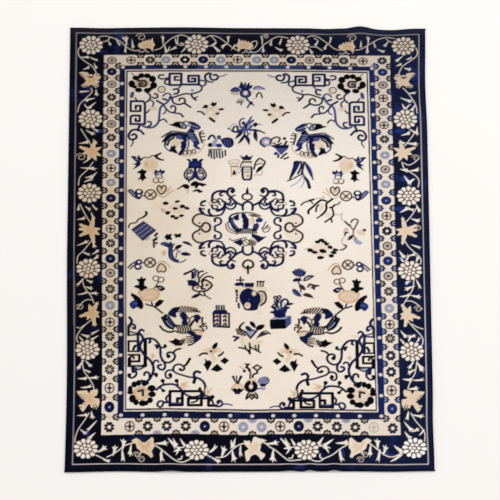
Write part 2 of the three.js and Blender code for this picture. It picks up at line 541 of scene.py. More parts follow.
NEAR_SIDE_BLOSSOM = [
    -11.5, -8.0, -5.6, -8.6, -1.5, -8.8, -0.4, -6.8, 1.6, -6.9, 2.2, -8.6, 5.9, -9.4, 8.7, -10.2,
    9.5, -7.6, 8.5, -3.9, 5.3, -2.7, 6.3, -1.3, 10.8, -0.6, 11.4, 2.6, 10.3, 6.7, 8.4, 10, 7.5, 7.3,
    6, 9.7, 5, 7.3, 3.2, 8.3, 2.2, 5.1, 0.5, 4.3, -1.1, 6.5, -2.7, 9.2, -4.9, 12, -7.3, 9.6, -9.3, 5.5,
    -5.6, 4.7, -2.7, 1.7, -4.8, 0.2, -7.3, -1.7, -9.7, -4.7,
]
# thin dark cuts between the arms of the two side blossoms, each from one place to another
SIDE_CUTS = [
    (-11.8, -7.2, -7.2, -6.2), (-10.8, -5.4, -6.6, -4.6), (-9.2, -3.4, -5.6, -3.2), (-9.6, 6.4, -5.2, 4.4),
    (-7.4, 8.0, -4.0, 5.0), (-4.6, 7.6, -2.4, 4.6), (10.2, 5.4, 6.0, 3.4), (8.4, 7.6, 4.8, 4.6),
    (10.8, -5.6, 7.0, -4.6), (8.2, -8.6, 5.8, -5.4),
]
NEAR_SIDE_CUTS = [
    (-10.6, -3.6, -6.8, -5.0), (-8.8, -1.4, -5.6, -3.2), (-6.6, 0.6, -3.6, -1.4), (-9.2, 8.0, -6.2, 7.2),
    (9.4, 9.0, 7.0, 4.0), (6.8, 9.2, 5.0, 4.8), (0.4, -9.6, 0.6, -5.6),
]


def blossom(px, py, outline, inks, mirror=False):
    """A tan leaf-blossom with ragged arms. Its heart is deeper than its tips."""
    pen = Pen(px, py, mirror=mirror)
    pen.facet(inks[0], *outline)
    heart = np.reshape(outline, (-1, 2))
    heart = heart * np.where(np.arange(len(heart)) % 2, 0.72, 0.5)[:, None]
    pen.fill(inks[1], *heart.ravel())
    if outline is SIDE_BLOSSOM:
        pen.oval("cream", 1.1, -5.6, 1.5, 0.9)
        pen.line("brown", 0.9, -2.4, -4.6, 0.4, -3.0, 2.6, -4.0)
    elif outline is FAR_BLOSSOM:
        pen.line("linen", 1.0, -8.6, 6.4, -4.4, 6.6, -2.0, 4.2, -0.8, 6.4, 1.4, 6.8)
    for whole, cuts in ((SIDE_BLOSSOM, SIDE_CUTS), (NEAR_SIDE_BLOSSOM, NEAR_SIDE_CUTS)):
        for cut in cuts if outline is whole else ():
            pen.straight("night", 1.0, *cut, end=0.3)


SIDE_STARS = [
    (3.4, -11.4, 9.8, -4.3, 9.8, 4.3, 4.9, 9.3, -3.7, 7.9, -8.7, 2.1, -12.3, -5),
    (2.8, -14, 9.3, -1.4, 8.5, 4.6, 3.4, 14, -11.4, 6, -12, -1, -11.6, -6),
    (5.7, -10.3, 7.1, 0, 7.1, 4.7, 2.9, 12.6, -5, 6.9, -12.6, 4, -2.9, -8.1),
]


def star_blossom(px, py, arms, inks, mirror=False):
    """The side borders' middle blossoms: pointed arms that spring from one heart."""
    pen = Pen(px, py, mirror=mirror)
    for ink, width, share in ((inks[0], 5.0, 1.0), (inks[1], 2.4, 0.7)):
        for x, y in np.reshape(arms, (-1, 2)) * share:
            pen.leaf(ink, width, -0.25 * x, -0.25 * y, x, y)
            # a long arm ends in a round tip
            if width > 3 and np.hypot(x, y) > 11:
                pen.oval(ink, 0.85 * x, 0.85 * y, 1.7)
    pen.oval(inks[1], 0, 0, 3.6, 3.0)


print("arms of the middle blossoms", [len(arms) // 2 for arms in SIDE_STARS])

# %% [markdown]
# ## Laying out the borders
# From the edge inwards come a plain indigo band, a thin cream line, the main border with its vine, a
# tan border of rosettes, a blue guard stripe with pearls, and two thin lines round the field. A frame
# is four corners, so each stripe is a filled outline inside the last one. The corners are places in
# the photograph, in the order far left, far right, near right, near left.

# %% Stripes and lines, from the outside in
FRAMES = {
    "rug": [(60, 10), (440, 10), (450, 490), (50, 490)],
    "cream_line": [(76.4, 32.8), (418.8, 34.4), (428.3, 464.2), (72.5, 464.4)],
    "main_border": [(104.1, 54.9), (390.1, 55.2), (400.6, 434.6), (101.2, 435.0)],
    "rosettes": [(119.6, 65.2), (374.3, 66.0), (384.8, 418.6), (117.2, 419.0)],
    "guard": [(125.2, 69.4), (368.9, 70.2), (378.2, 411.3), (123.8, 412.0)],
    "dark_line": [(126.3, 70.6), (367.7, 71.2), (377.1, 410.2), (124.9, 411.0)],
    "field": [(127.6, 71.9), (366.4, 72.5), (375.7, 408.6), (126.2, 409.3)],
}
# the stripes along the two ends wander, as the weaver beat the rows down harder here and there
WANDER = {
    "far": ([104, 131, 160, 190, 250, 300, 330, 355, 390], [0.2, 0, -0.5, -0.6, -0.6, -0.4, 0, 0.5, 0.6]),
    "near": (
        [101, 130, 165, 190, 220, 251, 280, 310, 330, 350, 376, 400],
        [0, -0.5, -1.1, -1.2, -0.3, 0.2, -0.8, -1.3, -0.7, 0.4, 0.7, 0.5],
    ),
    "inner near": (
        [101, 141, 168, 196, 223, 251, 280, 310, 340, 361, 376],
        [-0.6, -0.8, -1.2, -0.5, -0.2, 0.6, 0.1, 0.1, 0.5, 0.8, 0.8],
    ),
}

# the cream line is paler and wider down the right side and along the near end; the paler ink is painted
# light
CREAM_LINE_WIDTH = 0.0056
PALE_LINE_RADII = (0.00093, 0.002108, 0.00217)
STRAIGHT_FRAMES = ("rug", "cream_line")
END_POINTS = 25


def stray(name, side, x):
    """How far a frame strays there from the straight line between its corners, in pixels."""
    if side not in WANDER or name in STRAIGHT_FRAMES:
        return 0
    return np.interp(x, *WANDER["inner near" if side == "near" and name != "main_border" else side])


def wandering(name, side, start, end):
    """The places along one end of a frame."""
    line = np.linspace(start, end, END_POINTS)
    line[:, 1] += stray(name, side, line[:, 0])
    return line


def frame_corners(name):
    """The outline of a frame on the floor, from its far left corner onwards."""
    corners = np.array(FRAMES[name], float)
    if name not in STRAIGHT_FRAMES:
        ends = (("far", corners[:2]), ("near", corners[2:]))
        corners = np.concatenate([wandering(name, side, *pair) for side, pair in ends])
    return on_rug(corners[:, 0], corners[:, 1])


def right_and_near(name):
    """The same outline without its far side, but with the far right corner."""
    outline = frame_corners(name)
    return outline[1:] if name in STRAIGHT_FRAMES else outline[END_POINTS - 1 :]


def stripe(ink, name, hole=None):
    """Fills a frame with one ink, or the band between it and a smaller frame."""
    outlines = [frame_corners(name)]
    if hole:
        outlines.append(frame_corners(hole))
    ink_polygon(ink, *outlines)


def frame_line(ink, name, width):
    corners = frame_corners(name)
    line = np.concatenate([corners, corners[:1]])
    ink_stroke(ink, line, np.full(len(line), width / 2))


stripe("band", "rug")
stripe("ground", "main_border")
print("stripes", ", ".join(FRAMES))

# %% Pearls of the guard stripe and the rosette border
PEARLS = {
    "far": [123, 144, 165, 185.4, 206, 226.4, 246.9, 266.8, 287.8, 308.6, 329.6, 350.2, 371.9],
    "near": [120.9, 142.6, 164.6, 186.4, 208.1, 230.3, 252.2, 273.2, 294.3, 316, 338, 359.8, 381.4],
    "right": [84, 99.8, 114.6, 130.9, 147.9, 162.3, 177.5, 192.1, 207.3, 222.5, 236.7, 251.4, 266.4,
              282, 300.3, 318.6, 337.6, 357, 374.7, 395.7],
    "left": [83.5, 98.1, 114.6, 128.7, 147, 161, 175.8, 190.1, 204.8, 220, 233.7, 248.3, 263.5,
             278.9, 296.4, 315.1, 334.4, 355.1, 372.3, 392.9],
}
ROSETTES = {
    "far": [131.1, 150.3, 166, 185, 203.2, 220.8, 237.6, 256.8, 274.2, 291.3, 309.6, 327.1, 343.7, 363],
    "near": [129.7, 147.8, 166.7, 185.7, 204.8, 224, 243.2, 261.6, 280.2, 298.8, 317.7, 336.9, 355.3,
             373.8],
    "right": [60.7, 72.2, 85, 98.2, 111.7, 125.2, 139.2, 155.1, 169.3, 184.3, 200.5, 215.9, 230.9,
              245.9, 260.9, 276, 291.4, 308.3, 324.4, 338.4, 355.6, 371.9, 390.4, 408.8, 428.3],
    "left": [60.3, 71.6, 84.2, 97.1, 110.6, 123.9, 137.5, 153.4, 168.1, 182.5, 198.2, 213.7, 228.7,
              243.1, 258.6, 273, 289, 305.3, 322.1, 336.4, 353.2, 369.5, 388, 407, 427],
}
# the right side's half flowers are mostly navy, a brighter blue than the others' night: painted sheen
HALF_SORTS = {
    "far": ["night", "night", "umber"], "left": ["night", "night", "umber"],
    "near": ["night", "umber", "umber", "pale"], "right": ["navy", "night", "navy"],
}
# on the right side each solid rosette is a blue one, a brighter copy: painted sheen
SORTS = {
    "far": "wheel dots pale wreath solid pale wheel pale pale solid ring dots dots wheel",
    "near": "wheel wreath wreath wreath solid wheel pale pale wheel solid wreath wreath wreath faint",
    "left": "ring solid ring dots wheel ring dots pale wheel pale solid dots wheel"
            " dots solid ring dots pale wheel dots dots dots wheel solid wreath",
    "right": "dots blue ring wheel ring wheel dots pale ring pale blue wheel wreath"
             " ring blue ring dots pale wheel dots wreath wreath wheel blue wreath",
}


def between(frame_a, frame_b, side, share=0.5):
    """A line along one side, between two frames, as a function of the place along it."""
    first, last = {"far": (0, 1), "right": (1, 2), "near": (3, 2), "left": (0, 3)}[side]
    ends = [
        np.array(FRAMES[frame_a][k]) * (1 - share) + np.array(FRAMES[frame_b][k]) * share
        for k in (first, last)
    ]
    axis = 0 if side in ("far", "near") else 1

    def place(along):
        t = (along - ends[0][axis]) / (ends[1][axis] - ends[0][axis])
        point = ends[0] * (1 - t) + ends[1] * t
        for name, part in ((frame_a, 1 - share), (frame_b, share)):
            point[1] += part * stray(name, side, point[0])
        return point

    return place


SIDES = ("far", "near", "left", "right")
INWARD_TURN = {"far": 0, "near": 180, "left": 90, "right": -90}
# painted highlight: a stretch of the far guard stripe is inked in paler blues
# the far guard stripe is paler between these columns of the photograph
SHEEN_STRETCH = (("denim", 197, 304), ("steel", 211, 257))
HALF_ROSETTE_SEED = 19
chance = np.random.default_rng(HALF_ROSETTE_SEED)

for side in SIDES:
    outer = between("main_border", "rosettes", side, 0.0)
    middle = between("main_border", "rosettes", side, 0.5)
    inner = between("main_border", "rosettes", side, 1.0)
    places = ROSETTES[side]
    for a, b in zip(places[:-1], places[1:]):
        halfway = (a + b) / 2
        half_rosette(*outer(halfway), INWARD_TURN[side], chance.choice(HALF_SORTS[side]))
        half_rosette(*inner(halfway), INWARD_TURN[side] + 180, chance.choice(HALF_SORTS[side]))
        if side in ("far", "left"):
            Pen(*middle(halfway)).oval("sand", 0, 0, 2.8, 2.4)
    for along, sort in zip(places, SORTS[side].split()):
        rosette(*middle(along), sort)

stripe("night", "cream_line", hole="main_border")
frame_line("ash", "cream_line", CREAM_LINE_WIDTH)
ink_stroke("pearl", right_and_near("cream_line"), PALE_LINE_RADII)
stripe("guard", "rosettes", hole="guard")
# painted sheen: the right side of the guard stripe is inked a brighter blue
ink_polygon("deep", [*right_and_near("rosettes")[:2], *right_and_near("guard")[1::-1]])
guard_edges = [between("rosettes", "guard", "far", share) for share in (0.0, 1.0)]
# the painted highlight on the far guard stripe
for ink, start, end in SHEEN_STRETCH:
    painted_sheen = [guard_edges[k](along) for k, along in ((0, start), (0, end), (1, end), (1, start))]
    bare.facet(ink, *np.ravel(painted_sheen))
stripe("pearl", "guard")
# painted light: the thin line inside the guard is inked paler down the right side and along the near end
ink_polygon("cream", [*right_and_near("guard"), *right_and_near("dark_line")[::-1]])
stripe("umber", "dark_line")
stripe("ivory", "field")
for side in SIDES:
    middle_of_guard = between("rosettes", "guard", side, 0.45)
    for along in PEARLS[side]:
        pearl(*middle_of_guard(along))
print("pearls and rosettes drawn")

# %% Where the main border's flowers stand
LOTUSES = {
    "corners": [(91.1, 45.0), (403.5, 46.0)],
    "far": [(196.6, 44.2), (297.8, 45.0)],
    "left": [(90.4, 118.8), (89.4, 193.0), (88.4, 268.4), (87.6, 349.8)],
    "near": [(85.8, 448.6), (196.6, 450.0), (306.6, 449.8)],
    "right": [(405.4, 119.2), (408.8, 195.8), (410.0, 270.6), (412.0, 351.6)],
}
NEAR_RIGHT_LOTUS = (414.6, 448.0)
ROW_BLOSSOMS = [(147.4, 45.4), (243.8, 46.0), (347.8, 47.4)]
NEAR_BLOSSOMS = [(144.4, 446.6), (254.6, 449.4), (358.6, 446.8)]
SIDE_BLOSSOMS = {"left": [(90.2, 80.6), (88.2, 399.4)], "right": [(404.4, 81.4), (413.0, 400.0)]}
SIDE_STAR_PLACES = {
    "left": [(91.5, 151.5), (90.9, 230), (92, 312.5)],
    "right": [(403.4, 152.2), (405.4, 230.8), (407.6, 314.3)],
}
print("lotuses", 1 + sum(map(len, LOTUSES.values())))

# %% The vine: its stems, as lines through the photograph's pixels
STEMS = {
    "far": [
        [97, 37.5, 104, 36, 110, 37, 118, 40, 124, 44.5, 128, 48, 134, 50.5, 140, 50],
        [110, 37, 108, 40, 103, 42],
        [155, 50, 160, 48.5, 163, 46, 167, 42, 172, 38, 178, 35.5, 183, 35, 188, 37],
        [178, 36, 177.5, 41, 179, 45, 186, 45],
        [205, 38, 211, 35.5, 218, 37, 224, 41, 229, 45, 234, 48.5, 238, 50.5],
        [211, 36, 215, 40, 216, 43, 214, 45],
        [207, 46, 213, 46, 217, 48.5, 220, 51],
        [250, 51, 254, 52.5, 258, 51, 261, 48, 264, 44.5, 268, 42, 273, 38.5, 279, 36.5, 288, 38],
        [250, 44, 252, 42, 256, 41, 257, 44, 254, 48, 249, 49.5],
        [307, 37.5, 312, 35.7, 318, 37, 324, 41, 329, 44.5, 334, 48.5, 340, 50.5],
        [314, 38, 318, 41, 316, 45],
        [308, 47, 316, 47, 322, 50.5],
        [355, 50, 360, 49.5, 365, 47, 370, 44, 375, 41, 380, 38.8, 387, 37.5, 395, 38.5],
        [386, 39, 389, 41, 394, 43.5],
    ],
    "left": [
        [79.5, 47, 78, 52, 80, 57, 86, 62, 92, 66, 96, 72],
        [91, 88, 92, 92, 86, 98, 80, 104, 77.5, 112],
        [81, 129, 86, 137, 91, 145],
        [93, 162, 87, 170, 80, 177, 78.5, 185],
        [80, 204, 85, 214, 90, 222],
        [92, 240, 84, 250, 78, 256, 77, 263],
        [82, 279, 84, 286, 87, 291, 91, 296, 94, 303],
        [92, 300, 88, 299.5, 84, 301, 80, 305, 77, 309],
        [91, 320, 84, 326, 79, 332, 76.5, 338, 79, 344],
        [77, 327, 80, 328, 84, 325],
        [82, 360, 84, 371, 89, 378, 93, 385, 94, 390],
        [89, 413, 84, 421, 79, 428, 76, 435, 75, 441, 77, 446],
    ],
    "right": [
        [414, 46, 417, 50, 417, 55, 413, 59, 407, 63, 402, 67, 399, 73],
        [403, 88, 408, 93, 413, 100, 416, 106, 417, 113],
        [416, 131, 411, 138, 405, 146],
        [402, 162, 404, 168, 410, 172, 416, 176, 419, 181, 418, 187],
        [404, 163, 409, 165, 415, 162, 419, 158],
        [417, 207, 412, 215, 406, 222],
        [405, 241, 408, 246, 413, 251, 418, 255, 421, 260, 420, 265],
        [414, 280, 413, 288, 410, 294, 406, 300, 403, 305],
        [405, 301, 411, 301, 417, 304, 422, 309],
        [408, 321, 413, 327, 418, 332, 422, 337, 423, 342, 421, 347],
        [412, 324, 417, 327, 423, 329],
        [417, 361, 415, 373, 411, 380, 408, 388],
        [411, 413, 415, 420, 420, 426, 424, 431, 425, 437, 424, 444],
    ],
    "near": [
        [96, 455, 102, 458, 109, 461],
        [107, 457, 113, 454, 119, 450, 124, 446, 129, 444, 136, 442],
        [152, 444, 158, 447, 162, 450, 167, 454, 172, 458, 177, 461, 183, 462, 190, 459],
        [186, 447, 177, 447, 172, 442],
        [182, 456, 181, 459, 178, 459],
        [207, 455, 213, 458, 220, 461],
        [216, 457.5, 223, 457, 227, 455, 230, 452, 233, 449, 237, 446, 241, 444, 247, 443],
        [262, 441.5, 266, 443.5, 270, 447, 275, 450, 280, 454, 285, 458, 290, 460.5, 302, 459.5],
        [281, 439, 285, 443, 290, 447, 297, 447],
        [293, 455, 292, 458, 289, 458],
        [310, 459, 315, 461, 320, 461, 325, 458, 330, 456, 335, 453, 340, 449, 345, 446, 350, 443],
        [317, 446, 325, 446, 330, 448],
        [320, 454, 320, 457, 323, 459],
        [366, 441, 372, 445, 377, 449, 382, 453, 387, 456, 392, 457, 398, 455, 404, 452],
    ],
}
print("stems", {side: len(stems) for side, stems in STEMS.items()})

# %% The vine: its leaves, each from foot to tip with its width
LEAVES = {
    "far": [
        [108, 40, 111, 45.5, 2], [116, 38, 120, 46, 2.6], [103, 41, 99, 46, 2],
        [126, 46, 126.5, 35.5, 2.6], [125.5, 44, 126, 53, 2.6], [128, 45, 122, 36, 1.8],
        [132, 39, 133.5, 49, 2.4], [175, 37.5, 177, 45, 2.2], [169, 50.5, 177, 46.5, 2.2],
        [181, 52.5, 187, 46, 2.2], [170, 46, 168, 52, 2], [163, 45, 162.5, 35, 2.4],
        [164.5, 44, 167, 53.5, 2.6], [186, 45, 180, 42.5, 2], [228, 43, 228, 35.5, 2.6],
        [228, 43, 221, 48, 2.6], [216, 42, 212, 46.5, 2.4], [213, 46, 220, 52, 2.2],
        [231, 50, 236, 44, 2], [262, 45, 262, 35, 2.4], [263, 44, 263.5, 53, 2.4],
        [272, 39.5, 270.5, 46, 2.4], [282, 37.5, 280, 45, 2.4], [275, 47, 283, 51, 2.2],
        [309, 48, 313, 54, 2.4], [329, 44, 331.5, 36.5, 2.6], [328, 43, 324, 50, 2.4],
        [318, 41, 315, 46.5, 2.4], [361, 40.5, 361.5, 48, 2.4], [368, 45, 368, 36, 2.6],
        [367.5, 44, 367.5, 54, 2.6], [374, 41, 375, 48, 2.2], [389, 41, 384, 47, 2.4],
        [377, 49, 385, 52, 2.2],
    ],
    "left": [
        [80, 57, 90, 57, 2.2], [90, 57, 98, 61, 2.4], [94, 63, 97, 69, 2.4], [83, 69.5, 90, 66.5, 2.2],
        [90, 91, 79, 92.5, 2.4], [96, 89, 97, 96, 3], [95, 98, 84, 101, 2.6],
        [84, 103.5, 89, 110, 2.4], [96, 102, 88, 109, 2.4], [86, 130, 95, 134.5, 2.6],
        [92, 128, 99, 131, 2.4], [79, 143.5, 90, 141, 2.8], [93, 139, 97, 144, 2.4],
        [83, 163, 92, 157, 2.4], [80, 167.5, 97, 168.5, 2.6], [85, 177.5, 93, 176, 2.4],
        [84, 182, 91, 178.5, 2.4], [97, 172, 90, 180, 2.8], [79, 204, 78.5, 211, 2.4],
        [92, 204, 97, 210.5, 2.6], [85, 206, 91, 210, 2.4], [77, 219.5, 86, 217.5, 2.6],
        [91, 212, 94, 218, 2.6], [93, 241, 95, 248, 3], [77, 245.5, 89, 240.5, 2.4],
        [82, 251, 90, 255.5, 2.6], [92, 254.5, 99, 249.5, 2.4], [91, 261, 99, 255, 2.6],
        [84, 278, 77, 286.5, 2.8], [86, 279.5, 93, 282.5, 2.4], [85, 286.5, 93, 288.5, 2.8],
        [77.5, 294.5, 88, 292.5, 2.6], [87, 293, 98.5, 293, 2.6], [92, 318, 95.5, 326.5, 3.2],
        [99, 330, 91, 335, 2.6], [81, 334, 90, 337, 2.8], [98.5, 335.5, 90, 341, 2.4],
        [79, 336, 84, 342, 2.6], [85, 358, 77, 370.5, 2.8], [85, 360, 92, 367, 2.6],
        [83, 369, 91, 372, 2.4], [77.5, 378.5, 88, 378, 2.6], [87, 378, 99, 377, 2.8],
        [80.5, 387.5, 92.5, 386.5, 3.2], [77, 415.5, 89, 414.5, 2.6], [91.5, 411, 93, 419, 3.6],
        [97, 420.5, 87, 432, 3], [80, 429, 87, 434, 2.6], [95.5, 432.5, 88, 440, 3.2],
    ],
    "right": [
        [403, 56, 395.5, 62, 2.4], [406, 59.5, 412.5, 57.5, 2.4], [396, 66, 402, 63.5, 2.2],
        [404, 68, 411.5, 69.5, 2.4], [408, 93.5, 416, 92, 2.4], [400, 97.5, 413, 102, 2.4],
        [402, 103.5, 406, 110, 2.4], [411, 104, 405, 109, 2.2], [416, 104, 411, 112, 2.6],
        [417.5, 126.5, 417, 135.5, 2.4], [409, 128.5, 416, 132.5, 2.2], [401, 135.5, 411, 132, 2.6],
        [406, 143, 418.5, 144, 2.8], [399.5, 140, 405, 144.5, 2.6], [400, 169, 409, 170.5, 2.6],
        [408.5, 171, 420, 169, 2.6], [404, 175.5, 411, 184, 3], [415, 178.5, 408, 184, 3.4],
        [400, 212.5, 409, 207, 3], [407, 207, 414, 211, 2.8], [416, 204, 420.5, 212.5, 2.6],
        [411, 218.5, 420.5, 221, 3], [411, 244.5, 421.5, 247.5, 2.4], [399, 250.5, 405.5, 258.5, 3],
        [400, 257.5, 406, 264, 2.6], [404, 263, 410, 254.5, 2.8], [408, 256, 416, 253.5, 2.4],
        [415, 264, 418.5, 255.5, 2.6], [416, 279, 421.5, 288.5, 2.8], [412, 280, 405, 284, 2.4],
        [415, 286, 404.5, 290, 2.8], [399.5, 296.5, 411, 295, 2.8], [410, 295, 421.5, 297, 2.8],
        [400.5, 330.5, 407.5, 338, 2.8], [400, 338.5, 406, 344.5, 2.8], [408, 343, 410.5, 334.5, 2.6],
        [408, 337.5, 416, 335, 2.4], [415, 344, 420.5, 337.5, 2.6], [415, 360, 408.5, 369.5, 2.6],
        [416, 360, 423.5, 372.5, 2.8], [417, 363, 424.5, 368.5, 2.4], [416, 369, 407.5, 374, 2.8],
        [402.5, 379, 413, 380, 2.8], [412, 380, 424.5, 380, 2.8], [407, 389, 419, 388, 3.2],
        [411, 414.5, 424.5, 416.5, 2.6], [408.5, 411, 408, 420.5, 3.6], [404, 421.5, 413.5, 432, 3],
        [411, 432, 419.5, 428.5, 2.6], [419, 435.5, 424.5, 429.5, 2.4], [404.5, 431.5, 412, 440, 3.2],
    ],
    "near": [
        [97, 452.5, 106.5, 446, 3.2], [102, 458, 110, 462, 2.6], [113, 456, 115, 445, 3],
        [122.5, 450, 123.5, 438.5, 3.2], [122, 449, 124.5, 461.5, 3.2], [131.5, 443.5, 130, 456.5, 2.6],
        [154, 443.5, 168.5, 442.5, 2.8], [162, 449, 161, 462, 3.6], [168, 438, 178, 448, 3],
        [173, 438, 177, 446, 2.2], [173.5, 451.5, 181, 447.5, 2.8], [176, 455, 179, 447, 2.2],
        [180, 438.5, 188, 449, 2.8], [208, 453, 217.5, 446, 3.2], [212, 457.5, 220.5, 462, 2.6],
        [221, 458, 224.5, 446, 3.4], [231, 440, 233.5, 449, 2.8], [235.5, 438, 233, 448, 2.6],
        [232, 449, 235, 462, 3.2], [241, 444.5, 240, 457, 2.8], [265, 444, 279, 442, 2.8],
        [273.5, 449, 273, 462.5, 3.6], [280.5, 438, 290.5, 447.5, 3], [285, 438, 289, 446, 2.2],
        [283.5, 448.5, 292, 447, 2.6], [286, 454, 291, 447, 2.2], [291, 438.5, 298, 449, 2.8],
        [323.5, 437, 318, 446, 2.8], [333.5, 439, 323, 447.5, 3], [329, 453, 324, 445.5, 2.4],
        [335.5, 443, 350, 442, 3], [340, 449, 341.5, 462, 3.6], [371, 443.5, 370, 457, 2.8],
        [377.5, 450, 377, 438.5, 3.2], [380, 449, 379, 462, 3.2], [383, 455, 386, 445, 3.2],
        [394, 445.5, 404, 452.5, 3.4], [390.5, 461.5, 403, 454, 3.2],
    ],
}
# curled tendrils, each a place and how far it reaches
CURLS = [
    (141, 37, 4), (352, 38, 4), (266, 36.5, 2.2), (136.5, 454.5, 2.8), (141, 459.3, 3.4),
    (365, 455, 3), (360.5, 459.8, 3.2), (81, 157, 4), (80, 307, 3), (416, 158, 3.4),
    (418, 228, 2.8), (418, 309, 3.2),
]
# clouded dye behind the flowers; each is a place and its half sizes
BLUE_SHADOWS = [
    (98, 131, 5, 1.8), (86, 433, 4, 2.6), (400, 131, 5, 2.4), (400, 209, 5, 2.6), (405, 179, 5, 3),
    (342, 454, 3, 5), (386, 453, 3.4, 2.4), (392, 456, 4, 2), (402, 258, 4, 2.6), (408, 283, 4, 2),
]
print("leaves", {side: len(leaves) for side, leaves in LEAVES.items()})

# %% The main border, drawn
LEAF_EDGE = np.array([
    (0, 0.07), (0.36, 0.3), (0.62, 0.4), (0.94, 0.92), (0.8, 0.22), (1.04, 0), (0.82, -0.22),
    (0.8, -0.85), (0.58, -0.38), (0.34, -0.3), (0, -0.07),
])


def flared_leaf(ink, x0, y0, x1, y1, width, flip, barbs):
    """A leaf with a narrow foot that flares into three tips, or two if a barb is left out."""
    edge = LEAF_EDGE if barbs == 2 else np.delete(LEAF_EDGE, (7, 8), 0)
    along = np.array([x1 - x0, y1 - y0])
    across = np.array([-along[1], along[0]]) / np.hypot(*along) * width * flip
    bend = 0.12 * np.sin(np.pi * edge[:, :1]) * flip
    places = (x0, y0) + edge[:, :1] * along + (0.95 * edge[:, 1:] + bend) * across
    bare.facet(ink, *places.ravel())


for x, y, rx, ry in BLUE_SHADOWS:
    bare.oval("royal", x, y, rx, ry)
# painted light: the vine and lotuses of the right side and near end are inked paler than the far and left
# ones
VINE_INKS = {"far": "ground", "left": "ground", "right": "cream", "near": "cream", "corners": "ground"}
VINE_WIDTHS = {"far": 0.9, "left": 0.9, "right": 1.0, "near": 1.2}
for side in STEMS:
    ink = VINE_INKS[side]
    for stem in STEMS[side]:
        bare.line(ink, 0.95 * VINE_WIDTHS[side], *stem)
    for number, leaf in enumerate(LEAVES[side]):
        barbs = 1 if number % 3 == 1 else 2
        flared_leaf(ink, *leaf[:4], leaf[4] * VINE_WIDTHS[side], (-1) ** number, barbs)
for x, y, reach in CURLS:
    bare.curl("linen", 0.9, x, y, 1.25 * reach, 200, 1.25, inner=0.3)
for side in LOTUSES:
    for number, place in enumerate(LOTUSES[side]):
        lotus(*place, turn=16 * number, ink=VINE_INKS[side])
# painted light: the near right lotus, at the brightest corner, is inked white
lotus(*NEAR_RIGHT_LOTUS, turn=9, ink="white")
for number, place in enumerate(ROW_BLOSSOMS):
    blossom(*place, FAR_BLOSSOM, ("petal", "tan"), mirror=number == 1)
# painted light: the right blossom, a mirror of the left, is inked paler
for number, place in enumerate(NEAR_BLOSSOMS):
    outline = NEAR_BLOSSOM if number == 1 else NEAR_STAR
    blossom(*place, outline, ("haze", "petal") if number else ("petal", "tan"), mirror=number == 2)
# painted light: the right border's blossoms mirror the left's in paler, less warm inks
for side, inks in (("left", ("petal", "tan")), ("right", ("sand", "petal"))):
    for place, outline in zip(SIDE_BLOSSOMS[side], (SIDE_BLOSSOM, NEAR_SIDE_BLOSSOM)):
        blossom(*place, outline, inks, mirror=side == "right")
    for place, arms in zip(SIDE_STAR_PLACES[side], SIDE_STARS):
        star_blossom(*place, arms, inks, mirror=side == "right")
print("vine with", sum(map(len, STEMS.values())), "stems and", sum(map(len, LEAVES.values())), "leaves")

# %% [markdown]
# ## The field's corners
# Each corner of the field holds a flower of black petals between two meanders, squared spirals that
# stand for rolling thunder, with a scrolling stem before them. The left and right corners mirror each
# other, as a weaver reads one half of the cartoon backwards. So a corner is drawn once for the far end
# and once for the near end, by a pen that stands at the corner of the field and may be mirrored.
# From here on, strokes are counted in half squares, right of and below a corner whose name ends
# in GRID.

# %% The flower of black petals
def black_flower(pen, x, y, petals, heart, heart_inks, mark):
    """Round petals about a heart; petals are places and half sizes from the flower's middle."""
    outer, inner = heart_inks
    pen.oval(outer, x + heart[0], y + heart[1], heart[2], heart[3])
    pen.oval(inner, x + heart[0] + 0.5, y + heart[1] + 0.4, heart[2] * 0.66, heart[3] * 0.6)
    for px, py, rx, ry in petals:
        pen.oval("black", x + px, y + py, rx, ry)
    pen.straight("umber", 2.3, *[v + (x, y)[k % 2] for k, v in enumerate(mark)])


FAR_PETALS = [
    (-10.8, 0.6, 3.4, 3.7), (-6.6, -5.4, 3.8, 2.5), (-1.2, -7.8, 3.2, 2.6), (4.6, -7.6, 3.4, 2.6),
    (9.8, -4.4, 3.6, 3.4), (11.0, 2.0, 3.6, 3.4), (4.8, 7.0, 3.8, 2.4), (-3.9, 6.8, 3.8, 2.4),
    (-7.8, 3.6, 2.4, 1.8), (8.4, 5.2, 2.4, 1.6),
]
NEAR_PETALS = [
    (-7.5, -8.7, 3.0, 3.1), (-3.1, -10.2, 2.7, 3.0), (2.8, -9.9, 3.2, 3.1), (5.4, -10.1, 2.2, 1.8),
    (0.2, -12.4, 1.6, 1.3), (10.1, -4.9, 4.3, 3.2), (10.6, 1.0, 3.9, 2.9), (8.6, 6.8, 3.1, 2.9),
    (1.1, 9.7, 3.9, 3.0), (4.4, 9.5, 2.8, 2.5), (-9.2, 5.2, 3.5, 4.0), (-5.6, 8.7, 2.9, 3.0),
    (-11.5, -3.8, 2.6, 3.8), (-11.5, -0.9, 3.1, 2.1),
]
print("petals", len(FAR_PETALS), "and", len(NEAR_PETALS))

